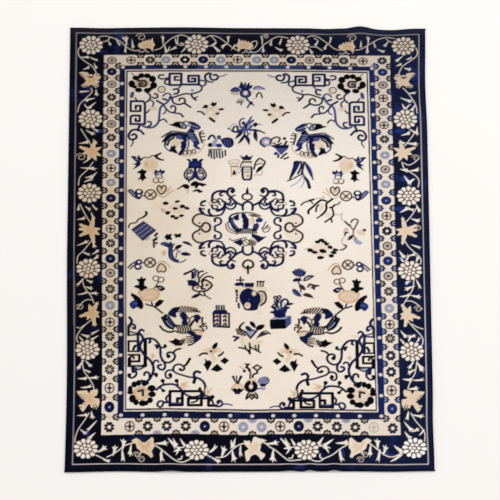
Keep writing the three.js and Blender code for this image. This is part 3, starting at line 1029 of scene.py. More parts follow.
# %% The far corners: two meanders each way, and the stem that scrolls between them
FAR_CORNERS_GRID = (1, 0)
# painted light: the right corner's heart is inked paler and less warm than the left's
FAR_CORNERS = [
    ((128.0, 72.0), False, ("rose", "linen")),
    ((366.2, 73.1), True, ("haze", "blush")),
]
for place, mirror, heart_inks in FAR_CORNERS:
    pen = Pen(*place, size=1.02, mirror=mirror)
    fine = pen.near(*FAR_CORNERS_GRID)
    black_flower(
        pen, 14.6, 11.4, FAR_PETALS, (0, -0.2, 7.8, 4.8), heart_inks,
        (-4.4, -2.4, 1.8, -2.6, 3.4, -1.0, 3.4, 1.6, 1.6, 2.8, -3.2, 2.8, -3.2, 0.2, 0.2, 0.2),
    )
    # the meanders along the end
    fine.straight("navy", 2.2, 104, 25, 104, 3, 81, 3, 81, 26, 103, 26)
    fine.straight("navy", 1.9, 104, 16, 91, 16, 91, 9, 98, 9)
    fine.straight("navy", 2.2, 104, 25, 139, 25, 139, 7, 118, 7, 118, 19, 132, 19, 132, 13, 125, 13)
    # the meanders along the side
    fine.straight("navy", 2.2, 4, 59, 28, 59, 32, 62, 32, 104)
    fine.straight("navy", 2.2, 4, 59, 4, 79, 23, 79, 23, 68, 14, 68, 14, 74)
    fine.straight("navy", 2.2, 32, 105, 4, 105, 4, 91, 7, 88, 22, 88, 22, 99, 14, 99, 14, 94)
    # hooks and spirals that end the meanders
    fine.line("navy", 1.6, 80, 11, 67, 14, 59, 11, 61, 6, 69, 6)
    fine.line("navy", 1.5, 80, 25, 73, 24, 71, 20, 74, 16, 79, 15)
    fine.line("navy", 1.5, 141, 16, 150, 18, 153, 23, 147, 28, 141, 27)
    fine.line("navy", 2.4, 159, 2, 152, 6, 152, 14, 158, 19, 167, 20, end=1.4)
    fine.line("navy", 2.0, 163, 3, 161, 9, 165, 15, 173, 15, 177, 10, 173, 5, 168, 6)
    fine.line("slate", 1.2, 176, 8, 185, 8, 194, 4, end=0.7)
    fine.line("navy", 2.2, 24, 105, 20, 112, 19, 118)
    fine.line("navy", 2.1, 30, 125, 23, 118, 14, 116, 6, 118, 1, 125, 1, 132, 6, 136, 14, 134, 16, 129,
            12, 125, 7, 127)
    fine.line("navy", 1.4, 8, 136, 9, 143, 4, 150, end=0.8)
    # the stem, from the side's meander to the end's
    fine.line("slate", 2.0, 25, 105, 31, 110, 39, 112, 49, 111, 57, 104, 60, 96, 63, 72, 75, 62, 80, 56,
            82, 50)
    fine.line("navy", 1.6, 83, 53, 110, 44, 123, 44, 135, 41, 143, 37, 145, 30, 141, 25)
    fine.line("navy", 1.7, 86, 54, 88, 61, 96, 65, 106, 64, 112, 59, 109, 53, 102, 53, 100, 57)
    fine.line("navy", 2.0, 111, 63, 123, 71, end=1.6)
    fine.line("navy", 1.6, 70, 68, 76, 76, 83, 81, 90, 81, 93, 75, 91, 69, 85, 68, 84, 72)
    fine.line("navy", 1.4, 84, 81, 94, 83, 102, 84, 108, 90, end=1.8)
    fine.line("slate", 1.3, 74, 76, 72, 82, 68, 84)
    fine.line("navy", 1.6, 124, 44, 126, 50, 133, 56, end=2.0)
    fine.line("navy", 1.3, 130, 52, 136, 50)
    fine.oval("mist", 126, 37, 3.6, 3)
    fine.line("navy", 1.9, 89, 35, 96, 34, 99, 38, 96, 43, 90, 44)
    fine.line("slate", 1.4, 97, 34, 103, 28)
    fine.line("slate", 1.6, 68, 48, 74, 43, 81, 44, 85, 50)
    fine.line("navy", 2.0, 68, 54, 75, 56)
    fine.line("navy", 2.0, 56, 58, 67, 64)
    fine.line("navy", 1.6, 47, 51, 52, 53, 57, 50, 56, 45, 51, 44)
    fine.line("navy", 1.7, 34, 40, 42, 46, 42, 54, 36, 60)
    fine.line("slate", 1.6, 42, 56, 48, 60, 48, 68, 36, 82)
    fine.line("navy", 1.4, 62, 98, 70, 95, 76, 101)
    fine.line("navy", 1.7, 38, 110, 44, 107, 44, 101, 38, 100)
    fine.ring("brown", 0.9, 65, 35, 7, 6)
    fine.oval("linen", 65, 35, 2.4, 2)
    fine.fill("slate", 4, 42, 10, 40, 9, 50, 3, 52)
    fine.line("navy", 1.3, 12, 52, 17, 58)
    fine.straight("brown", 0.8, 5, 2, 10, 7)
    fine.fill("sand", 39, 72, 50, 70, 57, 74, 46, 78)
drawn("far corners")

# %% The near corners, larger and blacker
NEAR_CORNERS_GRID = (2, -13)
# painted light: the right corner's heart is inked paler and less warm than the left's
NEAR_CORNERS = [
    ((126.0, 330.0), False, ("tan", "petal")),
    ((376.3, 332.0), True, ("sand", "blush")),
]
for place, mirror, heart_inks in NEAR_CORNERS:
    pen = Pen(*place, size=0.99, mirror=mirror)
    fine = pen.near(*NEAR_CORNERS_GRID)
    black_flower(
        pen, 16.0, 62.4, NEAR_PETALS, (-0.6, 0.1, 8.1, 7.1), heart_inks,
        (-3.2, -2.0, 1.3, -3.2, 1.4, 2.1),
    )
    # the meanders along the end
    fine.straight("black", 2.8, 85, 175, 85, 147, 148, 147, 148, 174.5, 122, 174.5, 122, 161, 144, 161)
    fine.straight("black", 2.7, 85, 174, 110, 174, 110, 149)
    fine.straight("black", 2.8, 100, 170, 100, 161, 109, 161)
    fine.straight("slate", 1.4, 89, 170, 107, 170)
    fine.line("black", 1.8, 129, 169, 137, 167, 141, 163)
    fine.line("navy", 2.0, 111, 149, 120, 155, 130, 158, 140, 157, 148, 154)
    fine.straight("black", 2.8, 151, 161, 165, 161, 162, 165, 162, 175, 178, 175)
    fine.line("navy", 1.8, 150, 156, 159, 156, 167, 161, 173, 175)
    fine.line("navy", 1.9, 173, 176, 183, 177, 189, 174, 189, 169, 185, 165, 180, 167, 181, 171)
    fine.oval("navy", 182, 169, 3.4, 3)
    fine.line("slate", 1.6, 190, 173, 199, 172, 209, 175, end=1.2)
    fine.oval("black", 170, 158, 4.4, 4)
    fine.line("navy", 1.4, 170, 162, 167, 166)
    fine.line("navy", 2.0, 84, 168, 76, 169, 68, 166, 62, 168, 60, 174, 65, 178, 70, 175, 72, 170)
    fine.line("navy", 1.9, 83, 154, 78, 159, 78, 164, 80, 168)
    # the meanders along the side, and the knot of stems that binds them
    fine.straight("black", 2.2, 1, 68, 1, 48, 22, 48)
    fine.straight("black", 1.9, 1, 68, 22, 68)
    fine.line("black", 2.5, 15, 57, 12, 61, 11, 64)
    fine.straight("black", 3.3, 35, 45, 35, 97)
    fine.straight("black", 2.3, 1, 75, 23, 75, 23, 88, 7, 88)
    fine.straight("black", 3.6, 3, 83, 3, 96)
    fine.line("black", 1.8, 3, 81, 8, 77)
    fine.line("umber", 2.2, 10, 77, 12, 82)
    fine.straight("black", 2.3, 1, 97, 27, 97, 37, 95)
    fine.oval("mist", 18, 100, 5.2, 2)
    fine.line("navy", 1.6, 14, 101, 20, 104, 27, 102, 34, 98)
    fine.line("navy", 3.6, 10, 100, 11, 108)
    fine.line("navy", 2.6, 3, 1, 7, 6, 7, 11, 1, 20)
    fine.line("navy", 2.2, 2, 17, 5, 15, 11, 15, 14, 18, 14, 23, 10, 22)
    fine.oval("mist", 7, 20, 2.4, 2.4)
    fine.line("night", 2.6, 1, 18, 1, 36)
    fine.line("navy", 1.8, 1, 36, 20, 35)
    fine.line("navy", 1.3, 5, 29, 11, 31, 18, 32)
    fine.line("navy", 2.8, 21, 68, 20, 38, 22, 30, 27, 25, 32, 28, end=1.9)
    fine.line("navy", 2.5, 23, 32, 29, 39, 30, 45, 24, 59, 33, 75, 46, 87, 52, 103, 46, 120, 38, 128)
    fine.line("navy", 2.1, 16, 106, 17, 114, 10, 120, 3, 119, 1, 114, 5, 113)
    fine.oval("black", 3, 116, 3.6, 3.2)
    # stems and their curls
    fine.line("navy", 2.2, 31, 47, 37, 43, 52, 44, 64, 57, 66, 76, 69, 84, 74, 91, 75, 99, 72, 104, 66,
            104, 61, 100, 62, 96, 67, 95)
    fine.line("navy", 2.1, 69, 86, 76, 90, 84, 90, 92, 85, 95, 78, 92, 72, 86, 70, 80, 72, 80, 78)
    fine.oval("black", 82, 78, 4.4, 4)
    fine.line("black", 1.9, 93, 69, 98, 65, 106, 63)
    fine.line("navy", 1.8, 66, 60, 72, 61, 77, 59)
    fine.oval("black", 75, 57, 3.6, 3.2)
    fine.fill("black", 53, 55, 59, 55, 62, 59, 60, 63, 57, 63, 56, 59)
    fine.line("navy", 2.3, 44, 44, 45, 49, 43, 51)
    fine.line("navy", 1.8, 51, 93, 54, 87, 59, 86, 62, 89)
    fine.fill("sand", 50, 68, 52, 74, 58, 77, 52, 80, 50, 85, 48, 80, 44, 76, 48, 74)
    fine.oval("tan", 50, 78, 2.8, 3.8)
    fine.line("navy", 2.2, 44, 120, 43, 112, 38, 109, 34, 111, 33, 115)
    fine.oval("black", 57, 114, 4.4, 3.8)
    fine.line("black", 1.9, 52, 112, 58, 118)
    fine.line("navy", 2.2, 58, 144, 65, 138, 74, 134, 95, 134, 113, 149)
    for x in (37.2, 51.2):
        pen.oval("black", x, 50.2, 2.2, 2.0)
        pen.line("navy", 1.6, x + 0.4, 51.6, x + 1.4, 54.2)
    fine.line("navy", 1.6, 65, 140, 71, 144)
    fine.oval("black", 72, 146, 4.2, 3)
    fine.line("navy", 2.3, 150, 159, 154, 150, 156, 140, 153, 130, 145, 123, 136, 120)
    fine.line("navy", 1.8, 136, 120, 124, 119, 100, 112, 92, 107, 85, 105, 78, 108, 76, 114, 78, 120, 84,
            121, 88, 117, 86, 112)
    fine.oval("black", 85, 115, 3.8, 3.4)
    fine.line("navy", 1.9, 92, 106, 92, 100, 97, 95, 105, 94, 112, 98, 114, 103, 109, 106, 104, 104)
    fine.oval("black", 106, 104, 3.4, 3)
    fine.line("black", 1.9, 112, 98, 118, 94, 125, 83, end=2.6)
    fine.line("navy", 2.4, 135, 120, 133, 113, 138, 108, 145, 110, end=2.8)
    fine.line("black", 3.0, 135, 123, 133, 130)
    fine.oval("black", 145, 142, 3.6, 3)
    for tip in ((126, 139), (125, 128), (117, 144), (111, 142)):
        fine.leaf("sand", 3.4, 107, 133, *tip)
    for tip in ((171, 138), (168, 151), (160, 136)):
        fine.leaf("sand", 3.0, 157, 153, *tip)
    fine.oval("tan", 112, 134, 5, 3)
    fine.oval("tan", 161, 148, 3, 4)
    fine.line("sand", 1.9, 32, 35, 46, 33)
drawn("near corners")

# %% [markdown]
# ## Treasures beyond the medallion
# Between the corners float antiques, scrolls, vases and cut flowers, the classic hundred antiques of
# such carpets. They could be stamped from a stock of shapes, but no two are alike, so each gets its
# own short cell of strokes. A cell sets a pen on half squares near its motif and draws at once, as a
# weaver reads one part of the cartoon after another.

# %% Tan sprays with black tips, beyond the medallion
FAR_SPRAYS = [((211.0, 111.0), False), ((276.0, 112.0), True)]
for place, mirror in FAR_SPRAYS:
    pen = Pen(*place, mirror=mirror)
    pen.fill("haze", -10, -3, -3, -6, 4, -7, 10, -1, 8, 4, 5, 9, -1, 8, -7, 3)
    pen.fill("sand", -6, -1, -1, -4, 3, -4, 2, 0, -2, 2)
    pen.fill("sand", 3, 2, 6, 0, 5, 5, 2, 5)
    pen.oval("ivory", -0.6, 1.4, 1.8, 1.4)
    pen.facet("black", -9.0, -3.4, -6.0, -6.6, -3.0, -5.8, -3.6, -3.0)
    pen.facet("black", -0.4, -6.4, 1.4, -9.6, 3.0, -8.2, 5.8, -9.2, 5.2, -6.4, 2.8, -4.6)
    pen.leaf("black", 2.6, 7.6, -1.6, 14.0, -2.2)
    pen.oval("umber", 6.6, 2.6, 2.1, 1.3)
    pen.line("umber", 1.7, -13.4, 0.6, -10, 0.8, -6.6, 3.6)
    pen.straight("black", 2.6, -1.0, 7.4, 3.2, 10.6)
drawn("far sprays")

# %% Tan sprays with seven black leaves, nearer than the medallion
NEAR_SPRAYS = [((214.0, 357.0), False), ((287.6, 357.6), True)]
for place, mirror in NEAR_SPRAYS:
    pen = Pen(*place, mirror=mirror)
    pen.fill("haze", -9, -7, -3, -10, 6, -9, 8, -4, 5, 2, 1, 6, -4, 1)
    pen.fill("sand", -12, -7, -5, -9, -1, -10.6, 6, -8, 7, -5, 3, -2.6, 1, 4, -1, 4.6, -3, -1, -8, -5.6)
    pen.fill("tan", -5, -6, 0, -8, 3, -6, 0, -4, -2, -3.6)
    pen.fill("ivory", 0, -3.0, 4, -4.4, 5, -2.4, 2, 0.4)
    pen.leaf("black", 4.2, -0.8, -8.2, 3.2, -14.4)
    pen.oval("black", -3, -5.6, 1.3, 1.1)
    pen.line("black", 1.6, -14.4, -1.6, -11, -3.6, -7, -3.4, end=2.2)
    pen.line("black", 2.2, 5.0, -1.4, 7.4, -2.6, 9.4, -5.0, end=1.3)
    pen.facet("black", 6.0, 4.0, 10.6, 0.4, 14.8, 3.4, 10.6, 7.0)
    pen.facet("black", -8.8, 1.4, -6.4, 3.8, -4.4, 3.0, -2.0, 5.6, -6.4, 13.8, -10.4, 6.8, -8.4, 5.8)
    pen.facet("black", -3.2, 12.4, 3.0, 6.6, 8.8, 12.0, 3.0, 14.4)
drawn("near sprays")

# %% A crowned bud between its leaves, at the far end
CROWNED_BUD_GRID = (230, 86)
fine = bare.near(*CROWNED_BUD_GRID)
for x, y, x2, y2, width in ((242.4, 90.0, 241.2, 81.6, 4.0), (242.0, 88.0, 238.4, 86.2, 2.6),
                            (247.0, 90.0, 249.2, 82.2, 3.2), (247.4, 89.0, 252.6, 85.4, 3.4),
                            (244.8, 89.0, 245.3, 81.8, 2.4)):
    bare.leaf("navy", width, x, y, x2, y2)
fine.oval("navy", 30, 6, 8.4, 4.8)
fine.oval("slate", 31, 1, 2.6, 2.4)
fine.oval("slate", 31, 15, 11.2, 8.6)
fine.ring("navy", 1.3, 31, 15, 10.4, 7.8)
fine.oval("haze", 31, 14, 4.4, 4.4)
fine.fill("linen", 1, 12, 6, 5, 13, 3, 20, 8, 19, 12, 15, 18, 8, 18, 2, 16)
fine.fill("slate", 2, 10, 7, 4, 16, 4, 20, 9, 12, 12)
fine.line("navy", 1.5, 2, 9, 8, 4, 14, 4, 20, 9)
fine.fill("linen", 13, 31, 18, 26, 25, 25, 29, 30, 25, 35, 17, 36)
fine.line("mist", 1.0, 13, 31, 18, 26, 25, 26, 29, 30)
fine.line("umber", 1.0, 14, 33, 23, 31, 22, 38)
fine.line("navy", 2.0, 33, 24, 36, 29, 41, 33, 48, 39, end=1.0)
fine.oval("navy", 42, 34, 4, 3.6)
fine.line("slate", 1.6, 39, 36, 35, 43)
fine.fill("mist", 46, 7, 50, 2, 57, 1, 70, 6, 52, 8)
fine.line("slate", 1.3, 47, 6, 51, 2, 58, 1, 69, 6)
fine.line("umber", 1.5, 53, 22, 54, 17, 58, 13)
fine.line("umber", 1.4, 61, 14, 63, 18, 64, 23)
fine.line("camel", 1.0, 46, 26, 51, 24)
fine.line("camel", 1.0, 42, 14, 49, 12)
drawn("crowned bud")

# %% A blue iris, its long falls hanging to both sides
IRIS_GRID = (228, 117)
fine = bare.near(*IRIS_GRID)
fine.fill("mist", 25, 21, 33, 14, 40, 9, 45, 14, 44, 24, 34, 27)
fine.line("slate", 1.5, 25, 20, 23, 11, 26, 5, 32, 3)
fine.line("slate", 1.5, 25, 20, 30, 22, 36, 16)
fine.oval("navy", 31, 12, 3.8, 3.4)
fine.line("slate", 2.3, 37, 18, 41, 9, 47, 0, end=1.6)
fine.line("slate", 2.4, 43, 12, 50, 7)
fine.line("navy", 2.0, 35, 15, 36, 25)
fine.line("slate", 2.0, 42, 25, 48, 17)
fine.fill("navy", 50, 14, 56, 11, 60, 14, 68, 15, 59, 16, 54, 20)
fine.line("mist", 1.0, 4, 21, 8, 16, 14, 14, 19, 18)
fine.line("slate", 1.0, 4, 24, 8, 27)
fine.line("navy", 1.7, 10, 27, 11, 21, 15, 19)
fine.line("navy", 2.2, 9, 28, 16, 30, 25, 29, 31, 26)
fine.line("navy", 2.0, 19, 19, 20, 28)
fine.oval("slate", 1, 23, 2.4, 2)
fine.line("slate", 2.2, 23, 26, 36, 25, 48, 26, 56, 26)
fine.leaf("navy", 3.4, 30, 28, 14, 44)
fine.line("slate", 1.8, 34, 27, 32, 37)
fine.leaf("navy", 3.0, 33, 35, 19, 54, bend=-0.06)
fine.leaf("navy", 3.8, 32, 35, 42, 56, bend=-0.12)
fine.line("slate", 1.2, 38, 27, 40, 36)
fine.line("navy", 2.6, 53, 27, 64, 28, 74, 33, end=1.0)
fine.leaf("navy", 4.0, 55, 27, 58, 49, bend=0.08)
fine.line("umber", 0.9, 39, 37, 44, 32)
drawn("iris")

# %% A tied scroll with tassels, left of the iris
SCROLL_GRID = (208, 135)
fine = bare.near(*SCROLL_GRID)
fine.oval("mist", 10, 19, 8, 4.8)
fine.line("navy", 2.0, 1, 8, 5, 2, 10, 1, 14, 6)
fine.oval("slate", 22, 4, 4.4, 3.8)
fine.oval("navy", 23, 7, 3, 1.8)
fine.oval("black", 4, 20, 4.8, 4.2)
fine.oval("royal", 22, 21, 6.4, 4)
fine.fill("mist", 11, 9, 19, 7, 18, 15, 11, 15)
fine.line("brown", 0.9, 25, 9, 30, 12, 31, 17)
fine.fill("navy", 26, 10, 37, 5, 49, 8, 51, 19, 44, 25, 34, 23)
for k in range(3):
    bare.line("slate", 0.8, 224 + 2.6 * k, 139.4, 225.4 + 2.6 * k, 145.6)
fine.line("umber", 1.1, 2, 29, 16, 29, 27, 28)
for x, top, foot, low in (
    (209.5, 150.6, 208.8, 156), (211.3, 151, 211.4, 157.8), (214, 151, 214.3, 158.6),
    (216.5, 151, 217, 157), (219.2, 150.6, 220, 158), (222.2, 151, 222.7, 157),
    (225.2, 150.4, 225.5, 155.4),
):
    bare.straight("navy", 1.4, x, top, foot, low)
    bare.oval("umber", foot, low, 1.0, 0.7)
drawn("scroll")

# %% A cloud head over a blue bowl, right of the iris
CLOUD_AND_BOWL_GRID = (260, 136)
fine = bare.near(*CLOUD_AND_BOWL_GRID)
fine.fill("mist", 1, 11, 5, 6, 14, 4, 22, 7, 24, 14, 16, 21, 7, 19)
fine.oval("haze", 13, 12, 5.2, 3.6)
fine.line("slate", 1.3, 2, 8, 7, 4, 14, 3, 21, 6)
fine.line("navy", 1.9, 1, 10, 2, 16, 9, 21)
fine.fill("haze", 27, 7, 35, 4, 42, 10, 35, 16, 27, 14)
fine.line("umber", 1.6, 21, 15, 22, 9, 27, 4, 34, 2, 40, 5, 37, 12)
fine.line("umber", 1.2, 26, 14, 35, 17, 43, 14)
fine.oval("umber", 49, 5, 3.8, 3)
fine.line("umber", 2.0, 53, 11, 49, 18)
fine.fill("slate", 32, 23, 56, 23, 48, 32, 43, 37, 37, 32)
fine.facet("navy", 19, 18, 58, 18, 56, 24, 30, 24)
fine.oval("slate", 32, 35, 4.6, 3.4)
fine.oval("royal", 32, 35, 2.6, 2)
for x, y, x2, y2 in ((283, 156, 286.7, 153.3), (281, 158, 282.2, 157.2), (284.4, 158.8, 288.2, 157.4),
                     (278.8, 154.8, 278, 157.2)):
    bare.line("navy", 1.8, x, y, x2, y2)
drawn("cloud and bowl")

# %% Two gourds under a dark, crossed crown of leaves
GOURDS_GRID = (186, 158)
GOURD_COLUMN = 195.2
fine = bare.near(*GOURDS_GRID)
for fold in (None, GOURD_COLUMN):
    pen = PhotoPen(fold)
    pen.fill("haze", 188.6, 168.0, 186.0, 171.0, 184.6, 174.6, 185.6, 177.6, 188.6, 179.4, 191.8, 178.8,
            194.0, 176.4, 194.6, 172.0, 191.0, 168.4)
    pen.line("umber", 1.6, 189.2, 167.2, 186.2, 170.6, 184.3, 174.6, 185.4, 177.6)
    pen.line("navy", 2.3, 185.4, 177.6, 188.6, 179.7, 192.0, 178.8, 194.6, 176.0, 195.0, 171.0)
    pen.line("slate", 1.2, 187.6, 177.0, 186.8, 174.0, 188.6, 170.8, 191.0, 169.6, 192.8, 172.0, 192.6,
            175.6, 190.4, 177.4, 187.6, 177.0)
    pen.line("black", 1.3, 187.8, 173.6, 190.8, 172.6)
    pen.line("umber", 1.0, 190.6, 170.4, 190.8, 173.4)
fine.facet("navy", 1, 2, 7, 2, 12, 8, 13, 1, 22, 1, 24, 7, 29, 2, 35, 2, 30, 9, 32, 11, 31, 14, 32, 19,
        28, 22, 22, 20, 19, 27, 17, 27, 15, 20, 8, 21, 4, 18, 6, 14, 4, 11, 7, 9)
fine.oval("royal", 18, 13, 8.8, 4)
fine.line("umber", 1.4, 5, 44, 6, 48)
drawn("gourds")

# %% The black leaves under the gourds
BLACK_LEAVES_GRID = (177, 181)
fine = bare.near(*BLACK_LEAVES_GRID)
fine.fill("black", 6, 12, 13, 7, 21, 7, 25, 12, 19, 16, 12, 12)
fine.line("umber", 1.1, 1, 16, 8, 12)
fine.line("camel", 1.6, 22, 17, 21, 25, end=0.8)
fine.facet("black", 27, 6, 33, 1, 38, 0, 43, 3, 50, 4, 60, 7, 51, 11, 44, 8, 40, 14, 35, 14, 37, 10, 28,
        10)
fine.facet("black", 30, 22, 36, 17, 43, 16, 52, 21, 45, 24, 40, 20)
drawn("black leaves")

# %% Ribbons and bamboo leaves, right of the vases
BAMBOO_GRID = (287, 161)
fine = bare.near(*BAMBOO_GRID)
fine.fill("navy", 14, 1, 25, 1, 21, 15, 4, 39, 12, 12)
fine.line("navy", 1.9, 28, 1, 28, 12, 22, 25)
fine.line("navy", 1.9, 34, 2, 32, 13, 30, 24)
fine.line("navy", 2.2, 30, 22, 33, 30, 41, 40, 45, 53, end=3.2)
fine.line("navy", 1.4, 31, 25, 20, 31, 9, 37, 0, 40, end=0.9)
fine.leaf("slate", 4.2, 36, 3, 52, 37, bend=-0.04)
fine.line("navy", 1.1, 37, 3, 44, 17, 52, 37)
fine.line("mist", 1.3, 32, 28, 23, 41, 7, 51)
fine.line("mist", 1.2, 32, 29, 34, 41, 28, 53)
drawn("bamboo")

# %% A tall crowned vase between two cups
VASES_GRID = (228, 154)
fine = bare.near(*VASES_GRID)
fine.fill("haze", 2, 13, 10, 11, 22, 12, 22, 18, 20, 32, 20, 44, 7, 44, 6, 25)
fine.line("linen", 1.1, 1, 14, 10, 11, 22, 12, 22, 18, 10, 19, 2, 18, 1, 14)
fine.line("linen", 1.4, 3, 19, 6, 26, 7, 45)
fine.line("linen", 1.2, 19, 19, 20, 32)
fine.line("brown", 0.8, 7, 25, 19, 25)
fine.line("camel", 1.1, 7, 28, 7, 45)
fine.facet("black", 11, 33, 14, 33, 16, 41, 9, 41)
fine.line("mist", 1.2, 18, 38, 24, 36, 26, 31)
fine.fill("haze", 31, 12, 46, 12, 47, 36, 45, 50, 31, 50, 29, 32)
fine.facet("navy", 23, 2, 30, 6, 34, 5, 37, 1, 41, 5, 45, 6, 50, 2, 45, 12, 30, 12)
fine.straight("umber", 1.6, 30, 16, 47, 16)
fine.line("umber", 1.0, 30, 14, 26, 21, 24, 28)
fine.line("linen", 1.1, 30, 20, 31, 24, 45, 24, 47, 20)
fine.straight("umber", 1.2, 32, 26, 44, 26)
fine.line("navy", 2.0, 29, 27, 29, 40, 31, 50, 38, 51, 45, 50, 47, 40, 47, 27)
fine.straight("brown", 0.8, 33, 31, 43, 31)
fine.straight("brown", 0.8, 33, 36, 43, 36)
fine.oval("sand", 38, 42, 4.4, 3.6)
fine.oval("umber", 40, 44, 1.8, 1.8)
fine.line("umber", 1.6, 52, 30, 55, 18, 59, 12, 64, 9, 74, 16, 68, 27)
fine.line("linen", 1.0, 59, 15, 69, 14)
fine.line("brown", 0.9, 57, 22, 63, 19, 70, 20)
fine.fill("black", 56, 37, 61, 27, 70, 24, 67, 31)
fine.line("camel", 1.2, 53, 44, 58, 38)
fine.line("camel", 1.2, 59, 42, 67, 41, 69, 33)
drawn("vases")

# %% [markdown]
# ## The phoenix roundels
# Four traditional phoenixes curl up into roundels about the medallion. Each has a black crest, a bent
# neck, a wing of parallel stripes, a jagged tail and a fringe of small curls. The near pair stands on
# its head and is drawn more boldly. The right-hand birds are folded copies, so they differ only in
# where they stand.

# %% Folding pens
# the column where each pair folds, and how much lower its right copy stands, in pixels
FOLDS = {
    "far phoenixes": (247.8, 2.0), "near phoenixes": (250.6, 1.4), "far peonies": (248.5, 1.0),
    "far chains": (248.3, 1.5), "near chains": (249.0, 2.3), "near peonies": (249.0, 2.0),
}


def folded(pair):
    """The two pens of a pair: one for the left, and one that turns its places over."""
    fold, down = FOLDS[pair]
    return bare, PhotoPen(fold, down)


print("pairs", ", ".join(FOLDS))

# %% The phoenixes of the far half
FAR_PHOENIXES_GRID = (162, 121)
for pen in folded("far phoenixes"):
    fine = pen.near(*FAR_PHOENIXES_GRID)
    fine.oval("haze", 28, 42, 14.8, 10)
    fine.oval("sand", 30, 43, 10.4, 6.4)
    fine.fill("sand", 69, 19, 75, 21, 76, 31, 72, 27)
    # crest and head
    fine.fill("mist", 35, 2, 42, 2, 48, 9, 48, 14, 37, 13)
    fine.line("black", 1.1, 35, 2, 42, 3, 47, 8, 48, 14, 37, 14)
    fine.line("umber", 0.8, 42, 5, 40, 12)
    fine.fill("black", 14, 7, 21, 6, 27, 2, 35, 2, 36, 6, 38, 14, 29, 12)
    fine.line("umber", 1.0, 44, 1, 50, 1, 54, 4, 53, 9, 49, 10)
    fine.fill("slate", 53, 1, 65, 3, 78, 13, 66, 18, 57, 14, 58, 8)
    fine.line("navy", 1.7, 58, 3, 67, 6, 74, 12)
    fine.line("navy", 1.7, 57, 11, 65, 13, 73, 16)
    fine.line("royal", 1.6, 60, 7, 69, 10)
    fine.line("mist", 0.9, 59, 9, 72, 13)
    # neck
    fine.fill("slate", 50, 22, 56, 17, 64, 19, 64, 27, 70, 35, 74, 45, 69, 47, 77, 56, 68, 55, 64, 49,
            61, 41, 50, 33)
    fine.line("black", 2.4, 56, 17, 63, 21)
    for k in range(4):
        pen.line("navy", 1.1, 187.8 + 0.8 * k, 132.6 + 2.1 * k, 190.6 + 0.9 * k, 132.8 + 1.9 * k,
                194.0 + 0.9 * k, 131.8 + 2.0 * k)
        pen.line("mist", 0.7, 188.4 + 0.9 * k, 133.8 + 2.1 * k, 192.4 + 0.9 * k, 133.4 + 2.0 * k)
    fine.oval("navy", 53, 33, 3.2, 2.4)
    fine.line("navy", 1.4, 64, 26, 70, 35, 74, 45)
    fine.fill("royal", 63, 42, 71, 41, 73, 46, 68, 50, 64, 48)
    fine.line("navy", 1.7, 64, 49, 68, 53, 76, 55, end=1.0)
    # the wing's stripes, which hold short feathers
    for k in range(6):
        pen.line("slate", 1.2, 176.2 + 1.5 * k, 135.0, 176.8 + 1.5 * k, 138.2 + 0.3 * k)
    fine.line("umber", 1.3, 51, 24, 28, 21, 18, 21, 0, 32)
    fine.line("slate", 1.2, 50, 26, 32, 24, 19, 24, 11, 28, 6, 34)
    fine.line("black", 2.1, 50, 28, 28, 26, 18, 27, 11, 31, 2, 41)
    fine.line("navy", 1.9, 27, 29, 18, 31, 8, 40, 6, 48)
    fine.line("black", 1.9, 24, 33, 19, 36, 14, 40, 11, 48)
    fine.line("slate", 1.3, 5, 47, 7, 53, 11, 57, 17, 61)
    fine.fill("navy", 41, 28, 50, 29, 49, 41, 44, 40, 41, 35)
    # tail
    fine.line("mist", 1.2, 50, 34, 52, 43, 51, 51, 48, 60)
    fine.line("brown", 0.8, 51, 34, 54, 43, 53, 51, 50, 59)
    fine.line("navy", 2.6, 46, 42, 45, 52, 36, 66, end=3.4)
    fine.facet("navy", 38, 42, 44, 39, 48, 40, 48, 53, 45, 56, 40, 68, 32, 66, 39, 56, 37, 52, 39, 48,
            38, 46)
    fine.facet("night", 15, 59, 19, 49, 22, 52, 24, 47, 26, 51, 30, 50, 26, 54, 32, 65, 26, 64)
    # curls and fringe
    fine.line("camel", 1.0, 38, 68, 48, 70, 60, 68, 72, 63, 80, 56, 84, 48, 83, 42)
    for x, y in ((185.4, 152.8), (189.8, 152.2), (194.0, 151.4)):
        pen.line("brown", 1.0, x - 1.6, y + 1.8, x - 1.7, y - 1.2, x + 0.4, y - 1.9, x + 1.6, y + 0.2,
                x + 0.4, y + 1.8)
    fine.line("umber", 1.6, 76, 23, 76, 30, 78, 36, 80, 43)
    for x, y, x2, y2 in (
        (200.4, 132.0, 202.8, 131.0), (200.8, 134.0, 204.2, 133.2), (201.0, 136.8, 205.0, 136.4),
        (201.6, 140.4, 205.2, 140.0),
    ):
        pen.line("umber", 1.1, x, y, x2, y2)
drawn("far phoenixes")

